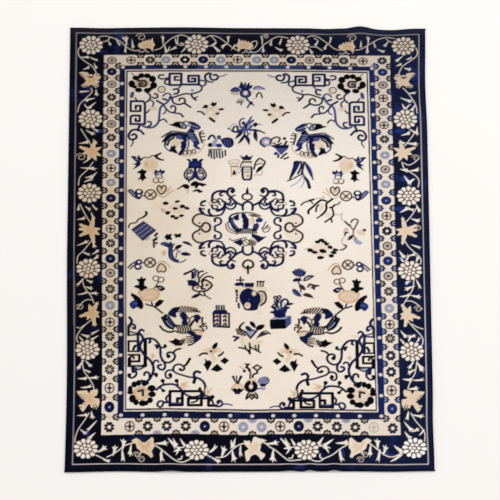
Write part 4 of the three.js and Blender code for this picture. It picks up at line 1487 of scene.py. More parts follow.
# %% The phoenixes of the near half
NEAR_PHOENIXES_GRID = (160, 306)
for pen in folded("near phoenixes"):
    fine = pen.near(*NEAR_PHOENIXES_GRID)
    fine.fill("haze", 71, 37, 79, 31, 86, 39, 88, 49, 76, 50)
    fine.fill("sand", 69, 49, 88, 50, 84, 58, 74, 58)
    fine.line("tan", 1.0, 71, 51, 79, 53, 87, 52)
    # wing
    fine.line("black", 2.0, 4, 23, 11, 36, 17, 42, 24, 45, 32, 46)
    fine.line("black", 1.9, 0, 40, 5, 46, 12, 50, 20, 52, 28, 50)
    fine.line("navy", 1.7, 7, 21, 11, 30, 18, 39, 27, 44)
    fine.line("black", 2.4, 11, 18, 12, 25, 22, 38, 31, 42)
    fine.line("mist", 1.0, 13, 30, 18, 37, 25, 42)
    fine.line("slate", 1.1, 15, 18, 17, 26, 22, 34, 30, 39)
    fine.line("black", 1.8, 17, 21, 27, 35, 34, 39, 53, 39)
    fine.fill("navy", 16, 15, 20, 9, 26, 4, 34, 2, 38, 5, 35, 11, 32, 14, 32, 23, 19, 19)
    fine.facet("navy", 38, 15, 43, 14, 44, 9, 50, 13, 54, 18, 55, 24, 54, 29, 57, 38, 45, 38, 43, 32, 46,
            28, 42, 25, 42, 22, 38, 20, 41, 18)
    # curls along the far side
    fine.line("camel", 1.0, 36, 2, 48, 0, 72, 4, 80, 11)
    for k in range(9):
        x = 173.6 + 2.8 * k
        y = 307.0 + 0.012 * (x - 184) ** 2
        pen.line("black", 1.5, x, y, x + 1.5, y + 2.4, x + 4.2, 312.2, end=1.0)
    # breast, head and neck
    fine.line("brown", 1.3, 54, 20, 58, 25, 64, 22, 69, 19)
    fine.line("brown", 1.4, 59, 25, 59, 31, 55, 38)
    fine.fill("navy", 68, 20, 73, 17, 78, 18, 82, 24, 78, 28, 75, 34, 70, 30)
    fine.line("umber", 1.5, 69, 27, 64, 34, 62, 42)
    for k in range(5):
        pen.line("black", 1.15, 195.0 - 1.4 * k, 320.6 + 1.6 * k, 191.8 - 1.2 * k, 321.6 + 1.7 * k)
    # the striped band
    fine.fill("haze", 28, 45, 36, 40, 61, 40, 65, 49, 56, 54, 40, 53, 31, 50)
    for k in range(6):
        pen.line("black", 1.35, 176.2 + 2.6 * k, 326.0, 178.2 + 2.5 * k, 329.2, 177.4 + 2.5 * k, 332.4)
    fine.line("umber", 1.2, 31, 50, 42, 54, 55, 54)
    # tail and crest
    fine.fill("haze", 53, 63, 61, 58, 69, 64, 67, 73, 56, 77)
    for k in range(4):
        pen.line("umber", 0.9, 186.2, 336.8 + 1.9 * k, 192.0, 336.4 + 1.9 * k)
    fine.facet("navy", 54, 52, 61, 48, 68, 51, 73, 57, 84, 59, 81, 66, 73, 72, 64, 78, 56, 80, 55, 77,
            64, 75, 69, 70, 60, 70, 69, 66, 60, 64, 68, 62, 59, 57)
    fine.oval("linen", 48, 70, 6.4, 6.8)
    for k in range(4):
        pen.line("umber", 1.3, 184.4 - 2.1 * k, 339.2 + 0.5 * k, 183.0 - 2.0 * k, 342.6, 181.0 - 1.8 * k,
                345.2)
    fine.facet("black", 17, 70, 26, 69, 32, 64, 35, 67, 40, 68, 38, 72, 42, 78, 30, 78)
    # claws
    fine.line("black", 1.6, 85, 23, 84, 30, 86, 36)
    fine.line("umber", 1.5, 79, 41, 85, 38, 91, 35)
    fine.line("umber", 1.4, 80, 41, 84, 44, 88, 49)
    fine.line("umber", 1.2, 86, 41, 93, 40, 93, 46)
    fine.line("brown", 1.0, 66, 48, 76, 48, 88, 50)
drawn("near phoenixes")

# %% [markdown]
# ## Peonies and chains at the sides
# Tan peonies with black leaves, and chains of coins and hearts, hang along both sides of the field.
# The right half repeats the left. Two drawings would drift apart, so each is drawn once, and a
# folding pen turns its places over. The middle of the fold and the step down differ a little from
# pair to pair, because the weaver's count did.

# %% The tan peonies of the far half, with black leaves and a bud
FAR_PEONIES_GRID = (130, 153)
for pen in folded("far peonies"):
    fine = pen.near(*FAR_PEONIES_GRID)
    fine.fill("haze", 26, 11, 36, 8, 48, 8, 56, 14, 58, 24, 53, 34, 44, 39, 32, 36, 24, 26)
    fine.fill("sand", 28, 15, 36, 11, 48, 11, 55, 17, 55, 25, 48, 33, 40, 36, 31, 31, 27, 23)
    fine.fill("tan", 28, 21, 33, 17, 36, 23, 33, 29)
    for k in range(3):
        pen.line("tan", 0.7, 147 + k, 162.8 + 2.4 * k, 151, 161.4 + 2.5 * k, 156 - k, 163.4 + 2.2 * k)
    fine.facet("navy", 1, 7, 7, 6, 11, 8, 12, 13, 18, 16, 22, 11, 30, 7, 20, 18, 22, 21, 18, 26, 6, 33,
            13, 24, 6, 23, 12, 20, 14, 18, 9, 15, 6, 11)
    fine.leaf("navy", 2.4, 21, 15, 16, 4)
    fine.leaf("navy", 1.8, 18, 15, 10, 6)
    fine.leaf("mist", 1.6, 13, 14, 13, 8)
    fine.line("brown", 1.1, 29, 8, 34, 9, 40, 8, 44, 5, 49, 5)
    fine.line("black", 1.4, 62, 0, 56, 3, 51, 6, end=2.8)
    fine.line("black", 3.0, 51, 6, 55, 10, 61, 13, 67, 14, end=1.4)
    fine.facet("black", 21, 35, 24, 31, 27, 34, 34, 36, 29, 43, 33, 51, 28, 52, 25, 57, 22, 52, 15, 53,
            20, 49, 21, 43, 20, 40, 14, 40, 17, 36)
    fine.facet("navy", 45, 38, 49, 41, 50, 33, 58, 37, 61, 31, 63, 36, 68, 34, 70, 38, 65, 42, 52, 45)
    fine.oval("mist", 58, 41, 5.2, 2.4)
    fine.line("slate", 1.2, 51, 43, 53, 51)
    fine.line("slate", 1.1, 62, 43, 65, 49)
    fine.line("umber", 1.4, 53, 50, 58, 50, 63, 50)
    for x in (155.9, 161.1):
        pen.ring("linen", 1.2, x, 180, 2.7, 2.5)
        pen.line("brown", 0.9, x - 2.8, 179.0, x - 2.2, 181.8, x, 182.8, x + 2.2, 181.6)
drawn("far peonies")

# %% Chains of the far half: a tassel, two rings, a coin and a heart
FAR_CHAINS_GRID = (127, 185)
for pen in folded("far chains"):
    fine = pen.near(*FAR_CHAINS_GRID)
    fine.fill("slate", 3, 11, 8, 8, 16, 15, 20, 26, 12, 23)
    fine.line("mist", 0.8, 7, 12, 16, 23)
    fine.line("umber", 0.9, 2, 11, 8, 18, 19, 26)
    fine.oval("navy", 24, 14, 8.6, 6.4)
    fine.oval("navy", 23, 22, 6.4, 6.8)
    fine.oval("white", 24, 13, 3.8, 2.8)
    fine.oval("white", 24, 21, 2.6, 2)
    fine.line("slate", 1.4, 30, 21, 36, 22)
    fine.oval("haze", 47, 19, 11.2, 9.6)
    fine.ring("umber", 1.2, 47, 19, 11.2, 9.6)
    for x, y in ((147.6, 192.2), (153.6, 192.2), (147.8, 197.0), (153.2, 197.2)):
        pen.line("umber", 1.4, 150.5, 194.8, x, y, end=0.7)
    fine.fill("haze", 61, 4, 77, 4, 77, 13, 69, 19, 61, 13)
    fine.oval("tan", 69, 9, 4.8, 4.4)
    fine.line("umber", 1.3, 69, 6, 65, 1, 61, 4, 61, 11, 69, 18, 77, 11, 78, 4, 73, 1, 69, 6)
    fine.line("camel", 1.2, 61, 19, 68, 23, 75, 24, 81, 18, 93, 11)
    fine.line("camel", 1.2, 80, 14, 84, 9, 87, 4)
drawn("far chains")

# %% The same chains nearer, their hearts upside down
NEAR_CHAINS_GRID = (128, 260)
for pen in folded("near chains"):
    fine = pen.near(*NEAR_CHAINS_GRID)
    fine.line("umber", 1.4, 0, 15, 9, 7, 17, 3)
    fine.line("umber", 1.2, 4, 18, 12, 11, 19, 7)
    fine.fill("slate", 11, 5, 18, 1, 22, 5, 16, 10)
    fine.oval("navy", 22, 4, 6.8, 5.6)
    fine.oval("navy", 20, 14, 7.6, 6)
    fine.oval("white", 22, 4, 2.8, 2)
    fine.oval("white", 20, 13, 4, 2.8)
    fine.line("slate", 1.4, 28, 6, 33, 5)
    fine.oval("haze", 44, 5, 10.4, 9.2)
    fine.ring("umber", 1.3, 44, 5, 10.8, 9.4)
    for x, y in ((147.0, 260.0), (153.2, 259.8), (147.0, 265.2), (153.2, 265.2)):
        pen.line("umber", 1.4, 150.2, 262.6, x, y, end=0.8)
    fine.fill("sand", 59, 16, 66, 8, 75, 15, 72, 22, 61, 22)
    fine.line("brown", 1.3, 66, 22, 61, 24, 58, 19, 60, 13, 66, 7, 74, 13, 76, 19, 72, 24, 66, 22)
    fine.line("camel", 1.2, 69, 3, 79, 8, 84, 16)
    fine.line("camel", 1.1, 57, 8, 66, 2, 75, 4)
drawn("near chains")

# %% The tan peonies of the near half, under a standing leaf
NEAR_PEONIES_GRID = (129, 280)
for pen in folded("near peonies"):
    fine = pen.near(*NEAR_PEONIES_GRID)
    fine.fill("tan", 18, 22, 30, 20, 44, 16, 58, 20, 62, 28, 57, 38, 42, 43, 27, 40, 20, 31)
    fine.fill("sand", 23, 25, 34, 22, 45, 21, 56, 25, 55, 33, 41, 38, 28, 35)
    for k in range(2):
        pen.line("tan", 0.8, 143.4, 295 + 2 * k, 149.6, 292.6 + 2 * k, 155.8, 295 + 2 * k)
    for x, y, x2, y2, width in (
        (141.6, 288, 141.5, 276.6, 5.6), (141.6, 281, 136.6, 279.2, 3.2), (141.6, 281, 146, 278.4, 3.2),
        (141.6, 287, 134.0, 286.2, 4.0), (141.6, 287, 147.4, 287.8, 4.2), (141.4, 285.6, 141.6, 290.6, 5.4),
    ):
        pen.leaf("black", width, x, y, x2, y2)
    fine.facet("black", 20, 0, 31, 0, 30, 18, 21, 18)
    fine.leaf("black", 5.6, 25, 47, 5, 26)
    fine.line("black", 3.4, 7, 30, 16, 36, 23, 43, 25, 50)
    fine.fill("royal", 1, 49, 7, 42, 17, 40, 23, 46, 25, 57, 16, 54, 8, 58)
    fine.fill("black", 18, 39, 28, 48, 26, 58, 18, 53)
    fine.oval("slate", 12, 47, 5.6, 2.2)
    fine.facet("black", 61, 39, 70, 41, 65, 48, 58, 53, 52, 54, 52, 47)
    fine.line("black", 1.5, 34, 48, 42, 51, 50, 53, 67, 66)
    fine.line("black", 1.4, 45, 44, 47, 52)
    for x, y in ((155.8, 278.4), (161, 279.6)):
        pen.ring("brown", 0.9, x, y, 2.9, 2.5)
    fine.line("umber", 1.1, 59, 3, 55, 10, 50, 17)
    fine.fill("black", 54, 13, 63, 11, 72, 17, 65, 22, 59, 19)
    fine.oval("mist", 62, 16, 3.8, 1.6)
drawn("near peonies")

# %% [markdown]
# ## The medallion
# The middle holds a cartouche of scrolls with a phoenix inside. One quarter of its frame is drawn and
# folded over both middle lines. The photograph's quarters differ a little; these four are alike.

# %% The frame of the medallion, one quarter folded over both middle lines
QUARTER_GRID = (193, 188)
MEDALLION_COLUMN = 247.7
MEDALLION_ROW = 228.3
quarters = [PhotoPen(x, 0.0, y) for x in (None, MEDALLION_COLUMN) for y in (None, MEDALLION_ROW)]
for pen in quarters:
    fine = pen.near(*QUARTER_GRID)
    fine.fill("haze", 10, 53, 24, 56, 35, 66, 37, 80, 8, 80, 3, 70, 3, 60)
    fine.line("umber", 1.8, 20, 52, 12, 52, 5, 55, 0, 61, 0, 69, 6, 74, 12, 77, 15, 81)
    fine.oval("umber", 13, 70, 2.2, 1.8)
    # the large scroll and the stem that runs inwards from it
    fine.line("navy", 2.3, 79, 9, 82, 5, 79, 1, 73, 1, 69, 6, 69, 12, 73, 16, 87, 29, 100, 35)
    fine.oval("navy", 78, 6, 4, 3.2)
    fine.line("navy", 2.0, 75, 18, 85, 14, end=1.0)
    fine.line("navy", 2.4, 69, 8, 62, 6, 53, 6, 44, 9, 39, 15, 38, 30)
    fine.line("navy", 2.4, 65, 8, 58, 8, 54, 12, 55, 15, 59, 15, end=1.6)
    # the flower that it holds
    fine.oval("linen", 35, 31, 4.8, 4.4)
    fine.oval("haze", 36, 31, 2.6, 2)
    fine.line("brown", 1.4, 41, 22, 47, 24, 53, 21, 58, 24, 59, 28)
    fine.line("umber", 1.5, 39, 29, 46, 29, 50, 25)
    fine.line("navy", 2.4, 50, 26, 52, 30, 55, 34, end=1.2)
    fine.line("umber", 1.2, 44, 34, 49, 36, 48, 41)
    fine.oval("navy", 60, 26, 2.6, 2.2)
    fine.line("navy", 2.0, 38, 34, 39, 40, 44, 42, 49, 42)
    fine.line("navy", 2.3, 64, 28, 63, 36, 58, 42, 49, 45, end=3.2)
    # loops, arcs and the outer crescents
    fine.line("navy", 1.8, 64, 33, 66, 38, 73, 42, 80, 41, 85, 36, 86, 30)
    fine.line("navy", 2.0, 66, 30, 71, 34, 77, 34, 82, 30)
    fine.line("navy", 1.8, 76, 19, 72, 22, 75, 25, 75, 29, 71, 31)
    fine.line("navy", 1.8, 64, 41, 60, 49, 54, 54, 36, 56, 25, 54)
    fine.line("navy", 2.0, 27, 54, 19, 51, 14, 45, 14, 41, 23, 42, end=1.4)
    fine.line("navy", 3.0, 20, 50, 15, 45, 14, 41)
    fine.line("navy", 2.6, 24, 26, 18, 28, 16, 32, 17, 35, 23, 35, end=1.4)
    fine.line("navy", 2.4, 32, 43, 32, 49, 36, 54, 41, 56)
    # half of the S that stands beside the cartouche
    fine.line("navy", 1.9, 44, 67, 43, 63, 46, 60, 52, 60, 56, 64, 56, 69, 52, 73, 44, 76, 44, 81)
    fine.oval("navy", 44, 65, 3, 2.6)
for pen in quarters[::2]:
    pen.oval("haze", 206.4, 228.0, 6.4, 5.4)
    pen.line("umber", 2.0, 199.4, 226.6, 202.0, 226.2, 203.2, 223.8, 206.2, 222.8, 209.4, 224.6, 210.2,
            228.0, 208.4, 231.0, 205.2, 231.8, 202.4, 230.2, 201.4, 228.6)
    pen.oval("blush", 205.8, 227.4, 2.2, 1.9)
for pen in quarters[:2]:
    pen.line("navy", 2.2, 242.9, 209.8, 242.7, 205.2, 244.8, 202.6, 247.7, 201.8, 250.6, 202.6, 252.6,
            205.2, 252.4, 209.8)
drawn("frame")

# %% The flaming pearls above and below
MEDALLION_GRID = (225, 187)
fine = bare.near(*MEDALLION_GRID)
fine.line("umber", 1.6, 41, 13, 35, 17, 36, 23, 44, 26, 52, 24, 54, 18, 48, 13)
fine.leaf("navy", 2.6, 44, 16, 45, 0)
fine.oval("haze", 46, 158, 15.2, 10.8)
fine.oval("ivory", 46, 155, 7.2, 5.6)
fine.line("black", 1.9, 42, 162, 36, 157, 38, 150, 46, 146, 55, 150, 56, 158, 50, 162)
fine.line("black", 2.4, 46, 158, 46, 173, end=1.6)
drawn("pearls")

# %% The phoenix inside the medallion
fine = bare.near(*MEDALLION_GRID)
fine.line("brown", 0.9, 1, 73, 4, 85, 13, 91, 25, 94)
fine.line("umber", 1.0, 5, 70, 8, 81, 17, 88, 27, 92)
fine.fill("navy", 10, 62, 15, 62, 18, 71, 26, 81, 33, 87, 25, 90, 15, 82, 10, 71)
fine.line("navy", 1.6, 9, 70, 9, 61, 15, 55, 27, 52)
fine.line("slate", 1.1, 13, 66, 17, 75, 26, 85)
fine.facet("navy", 15, 61, 22, 56, 28, 54, 28, 66, 20, 66)
fine.facet("navy", 33, 53, 40, 53, 45, 62, 48, 65, 47, 69, 48, 74, 46, 82, 37, 83, 35, 78, 37, 73, 35,
        69, 36, 65, 33, 60)
fine.oval("sand", 53, 67, 4.2, 6.4)
fine.line("camel", 0.9, 51, 55, 57, 65, 56, 77)
fine.line("umber", 1.1, 29, 52, 44, 51, 58, 53, 71, 58)
for k in range(3):
    bare.line("brown", 0.8, 248.8 + 1.6 * k, 214.8 + 0.7 * k, 254.6 + k, 214.9 + 0.9 * k, 259.4,
            217.4 + 0.3 * k)
fine.oval("navy", 65, 67, 3.8, 3.8)
fine.oval("royal", 70, 66, 5.8, 4.8)
fine.fill("slate", 60, 74, 65, 72, 68, 78, 64, 86, 56, 89, 56, 80)
for k in range(4):
    bare.line("navy", 1.1, 254.2 - 0.5 * k, 224.4 + 1.9 * k, 258.4 - 0.6 * k, 224.8 + 1.8 * k)
fine.line("brown", 0.9, 75, 84, 82, 69)
fine.line("brown", 0.9, 78, 85, 86, 76, 84, 83)
fine.line("brown", 0.9, 74, 81, 78, 90, 87, 88, 90, 80)
for k in range(10):
    x = 237.6 + 2.0 * k
    bare.straight("umber" if k % 2 else "navy", 1.2, x, 229.2, x + 0.8, 233.2)
fine.line("navy", 1.0, 24, 84, 42, 83, 62, 86)
fine.facet("navy", 53, 93, 64, 96, 74, 100, 83, 99, 74, 106, 66, 111, 59, 103, 54, 100)
fine.facet("navy", 16, 110, 33, 104, 36, 112, 31, 118)
fine.fill("linen", 51, 103, 59, 106, 65, 112, 56, 117, 49, 117)
for k in range(4):
    bare.line("umber", 0.9, 250.0 + 1.7 * k, 239.6 + 0.8 * k, 249.8 + 1.7 * k, 245.2)
fine.ring("brown", 1.0, 42, 111, 6.4, 6.4)
fine.line("brown", 0.8, 39, 107, 46, 115)
fine.line("umber", 0.8, 9, 103, 15, 107, 31, 103, 43, 101)
drawn("middle phoenix")

# %% [markdown]
# ## Flowers beside the medallion
# Open flowers, a bare branch, a tied book, a butterfly and a blue orchid stand to the left and right
# of the medallion. These aren't pairs, so nothing is folded. The short dark leaves round the open
# flowers repeat, and one helper makes them from their places, sizes and slants.

# %% Two open flowers in short black leaves
def dashes(*ovals):
    """A ring of short dark leaves; each is a place, half sizes, and how far it leans."""
    for x, y, rx, ry, lean in ovals:
        bare.leaf("black", 2.8 * ry, x - 1.25 * rx, y + lean, x + 1.25 * rx, y - lean)
        bare.oval("black", x, y, 0.8 * rx, 0.95 * ry)


OPEN_FLOWERS_GRID = (160, 203)
fine = bare.near(*OPEN_FLOWERS_GRID)
fine.fill("haze", 20, 4, 32, 0, 48, 3, 54, 15, 40, 21, 24, 19, 17, 12)
fine.leaf("rose", 4.0, 2, 10, 16, 18, bend=0.12)
dashes((166, 203.2, 2.2, 1.4, 0), (177.6, 201.4, 2.1, 1.0, 0.6), (182.5, 206.2, 1.7, 1.4, 0.8),
       (187, 208.1, 2.1, 1.2, -0.7), (175.5, 208.4, 2.1, 1.1, 0), (168, 212.7, 1.5, 1.4, 0.8),
       (173, 216.3, 1.6, 1.3, 0.2), (176.6, 217.9, 1.8, 1.1, 0.7), (181.7, 215.6, 1.9, 1.1, 0.4))
fine.fill("haze", 306, 81, 320, 79, 334, 86, 342, 97, 332, 107, 314, 105, 305, 93)
fine.line("blush", 2.0, 311, 89, 317, 86, 323, 88)
fine.line("linen", 1.4, 289, 93, 298, 90)
dashes((317.6, 242, 1.8, 1.2, -0.5), (321.4, 240.1, 2.2, 1.3, 0.5), (324.4, 241.8, 1.8, 1.1, 0.2),
       (327, 243.9, 1.5, 1.3, 0.4), (330.4, 247.3, 1.7, 1.4, -0.8), (335.8, 249.9, 2.3, 1.2, -0.5),
       (334, 252.6, 2.2, 1.3, -0.6), (331.6, 255.8, 1.5, 1.5, 0), (310.5, 250.2, 1.9, 1.6, 0),
       (315, 252.3, 2.3, 1.3, -0.2), (323.2, 251.1, 2.6, 1.7, -0.8), (320.8, 257.6, 2.8, 1.4, 0.2))
drawn("open flowers")

# %% A bare branch, right of the medallion
BRANCH_GRID = (301, 196)
fine = bare.near(*BRANCH_GRID)
fine.leaf("sand", 4.2, 43, 15, 39, 32)
fine.oval("blush", 54, 38, 6.4, 5.6)
fine.line("linen", 1.6, 17, 8, 29, 5, 45, 4, 44, 1)
fine.line("linen", 1.3, 65, 37, 78, 37, 82, 34)
fine.line("umber", 1.4, 0, 18, 6, 13, 15, 10)
fine.line("black", 2.0, 17, 9, 25, 7)
fine.line("black", 1.2, 19, 10, 24, 15)
fine.line("black", 2.0, 15, 35, 15, 29, 22, 23, 37, 10, 43, 8, 50, 10)
fine.line("black", 2.0, 63, 6, 51, 15, 51, 22, 49, 30, 40, 39)
fine.line("umber", 1.4, 40, 39, 32, 44)
fine.line("umber", 1.6, 35, 18, 31, 23, 30, 31)
fine.line("umber", 1.2, 78, 12, 74, 16, 67, 18)
fine.line("black", 1.9, 67, 18, 63, 22, 58, 23)
fine.line("black", 1.6, 62, 23, 65, 36, 61, 43, 48, 52)
fine.line("black", 1.5, 60, 44, 62, 52)
drawn("branch")

# %% A striped lozenge at the left, a book tied with ribbons
BOOK_GRID = (128, 212)
fine = bare.near(*BOOK_GRID)
left, far = np.array([131.3, 229.5]), np.array([143.5, 221.0])
right, near = np.array([156.2, 230.2]), np.array([142.7, 240.8])
bare.facet("navy", *left, *far, *right, *near)
for k in range(1, 8):
    start = left + (near - left) * k / 8
    finish = far + (right - far) * k / 8
    cut = 0.06 * (finish - start)
    bare.straight("slate" if k % 2 else "mist", 0.9, *(start + cut), *(finish - cut))
fine.line("mist", 1.6, 36, 56, 43, 51)
fine.line("umber", 1.3, 1, 31, 3, 25, 8, 22, 13, 22, 18, 19, 20, 15, 26, 12)
fine.line("black", 1.4, 26, 12, 32, 9, 37, 4, 36, 0, end=2.4)
fine.line("black", 2.2, 54, 47, 58, 43)
fine.line("navy", 1.8, 58, 51, 52, 57, 52, 70)
fine.line("navy", 1.6, 50, 56, 57, 55)
fine.oval("navy", 57, 62, 3, 2.4)
drawn("book")

# %% A butterfly with long feelers, at the right
BUTTERFLY_GRID = (340, 213)
fine = bare.near(*BUTTERFLY_GRID)
fine.line("linen", 1.4, 4, 2, 3, 12, 10, 17)
fine.line("umber", 1.5, 10, 17, 15, 22, 20, 25, end=2.2)
fine.line("brown", 1.4, 22, 19, 25, 14, 31, 12, 36, 15, 34, 21, 28, 33)
fine.line("brown", 1.2, 20, 26, 26, 33)
fine.fill("rose", 6, 37, 11, 29, 17, 30, 15, 38, 9, 42)
fine.line("black", 1.6, 10, 44, 11, 40, 15, 39)
fine.line("linen", 1.6, 10, 46, 3, 56, 8, 64)
fine.line("brown", 1.6, 8, 64, 13, 66, 8, 72, 1, 74)
fine.fill("sand", 32, 38, 39, 32, 49, 36, 50, 44, 39, 44)
fine.oval("navy", 49, 34, 3.6, 2.8)
fine.leaf("black", 3.0, 26, 44, 16, 55)
fine.fill("mist", 26, 50, 44, 58, 41, 63, 31, 61)
fine.line("brown", 1.0, 27, 33, 27, 44, 33, 52)
fine.line("camel", 1.0, 20, 44, 13, 53)
drawn("butterfly")

# %% A blue plant with two black flowers, left of the medallion
ORCHID_GRID = (160, 235)
fine = bare.near(*ORCHID_GRID)
for x, y, x2, y2, width in (
    (168.4, 237.0, 164.4, 237.0, 3.4), (168.4, 237.0, 166.4, 234.2, 3.0),
    (168.4, 237.0, 171.4, 233.8, 3.0), (168.4, 237.0, 171.6, 239.6, 3.2),
    (168.4, 237.0, 166.6, 240.0, 3.0), (177.6, 235.8, 174.0, 234.2, 2.8),
    (177.6, 235.8, 181.2, 233.8, 2.8), (177.6, 235.8, 181.2, 236.8, 2.4),
    (177.6, 235.8, 175.4, 237.4, 2.4),
):
    bare.leaf("black", width, x, y, x2, y2)
fine.oval("black", 17, 4, 5.2, 4.2)
fine.oval("black", 36, 1, 4.8, 2.8)
fine.oval("sand", 7, 36, 5.2, 5.6)
fine.leaf("tan", 3.0, 11, 31, 6, 42)
fine.leaf("slate", 5.0, 1, 18, 21, 26, bend=-0.18)
fine.leaf("navy", 2.6, 7, 20, 22, 27, bend=-0.1)
fine.line("slate", 3.6, 21, 17, 21, 40, 26, 48, 34, 52)
fine.line("navy", 1.4, 19, 19, 18, 40, 23, 49, 33, 54, 43, 54, 52, 49, end=0.9)
fine.line("navy", 1.3, 23, 16, 25, 40, 31, 49, 37, 51)
fine.line("umber", 1.3, 24, 27, 26, 20, 29, 18)
fine.leaf("black", 4.2, 31, 26, 44, 20)
fine.line("brown", 1.2, 27, 32, 31, 28, 35, 30)
fine.line("brown", 1.0, 34, 35, 32, 45)
fine.oval("mist", 38, 33, 4.4, 3.2)
fine.leaf("navy", 3.2, 44, 14, 65, 23, bend=-0.1)
fine.leaf("navy", 4.4, 42, 38, 62, 40, bend=-0.06)
drawn("orchid")

# %% [markdown]
# ## Pots and cut flowers nearer than the medallion
# The near half holds pots, vases and baskets with the flowers that stand in them. The weaver drew
# them more heavily than the far ones, so their strokes are wider.

# %% A footed pot of leaves, with a chrysanthemum over its rim
POT_GRID = (184, 269)
fine = bare.near(*POT_GRID)
fine.line("black", 2.4, 1, 10, 12, 5, 21, 0, end=1.4)
fine.line("slate", 2.4, 21, 0, 23, 6, 21, 16)
fine.straight("black", 2.4, 17, 7, 17, 18)
fine.oval("navy", 17, 28, 9.8, 5.8)
for k in range(6):
    bare.leaf("navy", 2.4, 192.6, 282.6, 186.4 + 2.0 * k, 279.6 + 0.25 * (k - 2) ** 2)
    bare.leaf("navy", 2.2, 192.6, 282.6, 187.6 + 2.0 * k, 285.6 + 0.3 * k)
fine.oval("mist", 23, 21, 2.6, 2)
fine.line("umber", 1.8, 26, 34, 29, 28, 30, 21, 28, 12, 31, 6, 38, 4)
fine.line("umber", 1.2, 27, 2, 28, 8)
fine.line("umber", 1.4, 32, 18, 38, 11, 47, 7, end=0.9)
fine.line("umber", 1.7, 35, 24, 39, 19, 46, 15, 53, 15, 58, 18)
fine.fill("blush", 37, 27, 43, 23, 54, 32, 50, 38, 40, 38)
fine.line("black", 1.8, 36, 26, 41, 22, 48, 24, 56, 32, 51, 39, 43, 44, 34, 44)
fine.line("black", 1.8, 36, 26, 37, 34, 35, 39, 42, 40)
fine.oval("brown", 46, 32, 3.8, 2.6)
fine.oval("blush", 25, 38, 6.8, 4.4)
fine.line("black", 1.6, 33, 35, 27, 32, 20, 34, 17, 38, 20, 42, 28, 45, 34, 44)
fine.oval("brown", 27, 37, 2.6, 2)
fine.leaf("navy", 3.8, 32, 50, 14, 58)
fine.line("umber", 1.5, 29, 46, 35, 52, 40, 53)
fine.line("umber", 1.5, 40, 47, 44, 54, 54, 60, end=0.9)
drawn("pot")

# %% A spray with a ragged blue head and slate leaves
SPRAY_GRID = (292, 270)
fine = bare.near(*SPRAY_GRID)
for k in range(9):
    bare.leaf("slate" if k % 2 else "navy", 2.6, 299.0, 276.0, 291.4 + 1.9 * k,
            267.8 + 0.22 * (k - 4) ** 2)
fine.fill("navy", 1, 4, 8, 1, 21, 1, 27, 5, 23, 12, 8, 12)
for k in range(4):
    bare.line("slate", 0.8, 295.0 + 2.6 * k, 270.6, 296.6 + 1.8 * k, 275.4)
fine.line("slate", 1.3, 16, 12, 16, 18, 13, 25, 17, 30)
fine.leaf("umber", 5.0, 23, 22, 45, 12, bend=-0.1)
fine.leaf("mist", 2.2, 26, 20, 38, 14, bend=-0.1)
fine.leaf("navy", 4.2, 2, 22, 20, 21, bend=-0.12)
fine.leaf("umber", 4.6, 15, 30, 27, 40)
fine.fill("umber", 30, 34, 35, 27, 44, 29, 56, 31, 46, 35, 46, 40, 36, 35)
fine.oval("linen", 37, 33, 3.2, 2.6)
fine.leaf("slate", 5.4, 2, 38, 19, 53, bend=0.06)
fine.line("navy", 1.0, 4, 39, 18, 52)
fine.line("slate", 1.2, 17, 37, 18, 44)
fine.leaf("umber", 4.4, 22, 49, 43, 56, bend=-0.08)
drawn("spray")

# %% A round navy vase before two slender ones
ROUND_VASE_GRID = (233, 276)
fine = bare.near(*ROUND_VASE_GRID)
fine.fill("haze", 1, 21, 13, 19, 23, 22, 20, 29, 13, 33, 2, 27)
fine.fill("haze", 43, 20, 53, 17, 66, 22, 66, 31, 53, 31, 44, 27)
fine.facet("navy", 2, 17, 7, 13, 21, 13, 22, 22, 16, 19, 8, 20)
fine.straight("navy", 1.4, 15, 2, 15, 16)
fine.straight("navy", 1.6, 8, 8, 21, 8)
fine.facet("navy", 23, 14, 42, 14, 41, 22, 24, 22)
fine.line("linen", 1.5, 25, 24, 40, 24)
fine.fill("navy", 23, 27, 33, 25, 51, 34, 55, 41, 55, 49, 51, 59, 46, 68, 25, 68, 20, 60, 15, 51, 13, 42,
        16, 33)
fine.oval("camel", 42, 35, 4.8, 5.2)
fine.oval("blush", 42, 35, 3, 3.4)
fine.oval("blush", 29, 59, 6.2, 6.4)
fine.oval("rose", 29, 58, 3.2, 3.6)
fine.oval("slate", 32, 47, 1.6, 1.6)
fine.line("umber", 2.6, 7, 29, 8, 39, 7, 51, end=1.6)
fine.line("umber", 2.0, 11, 55, 12, 63)
for k in range(3):
    bare.oval("linen", 236.9, 293.4 + 3.0 * k, 0.8, 0.8)
fine.straight("umber", 1.6, 48, 11, 62, 11)
for x in (257.8, 260.6, 263.2):
    bare.line("umber", 1.2, x, 281.6, x - 0.4, 286.4)
fine.fill("camel", 55, 35, 61, 35, 62, 44, 59, 54, 54, 54, 57, 44)
fine.line("umber", 1.8, 52, 31, 62, 32, 66, 41, 64, 52, 55, 59)
drawn("round vase")

# %% A cabinet of two panels with brushes standing in it
BRUSHES_GRID = (212, 309)
fine = bare.near(*BRUSHES_GRID)
fine.facet("navy", 1, 7, 5, 2, 29, 2, 31, 7, 36, 8, 36, 38, 2, 36)
for low, high in ((214.6, 219.0), (221.4, 228.2)):
    bare.facet("blush", low, 314.2, high, 314.2, high, 326.0, low, 325.6)
    middle = (low + high) / 2
    for y in (316.0, 320.0, 324.0):
        bare.line("umber", 1.6, middle - 1.4, y + 0.8, middle + 0.6, y - 0.6, middle + 1.2, y + 1.4)
for x in (216.4, 218.8, 221.4, 223.8):
    bare.straight("navy", 1.5, x, 305.6, x + 0.2, 310.4)
drawn("brushes")

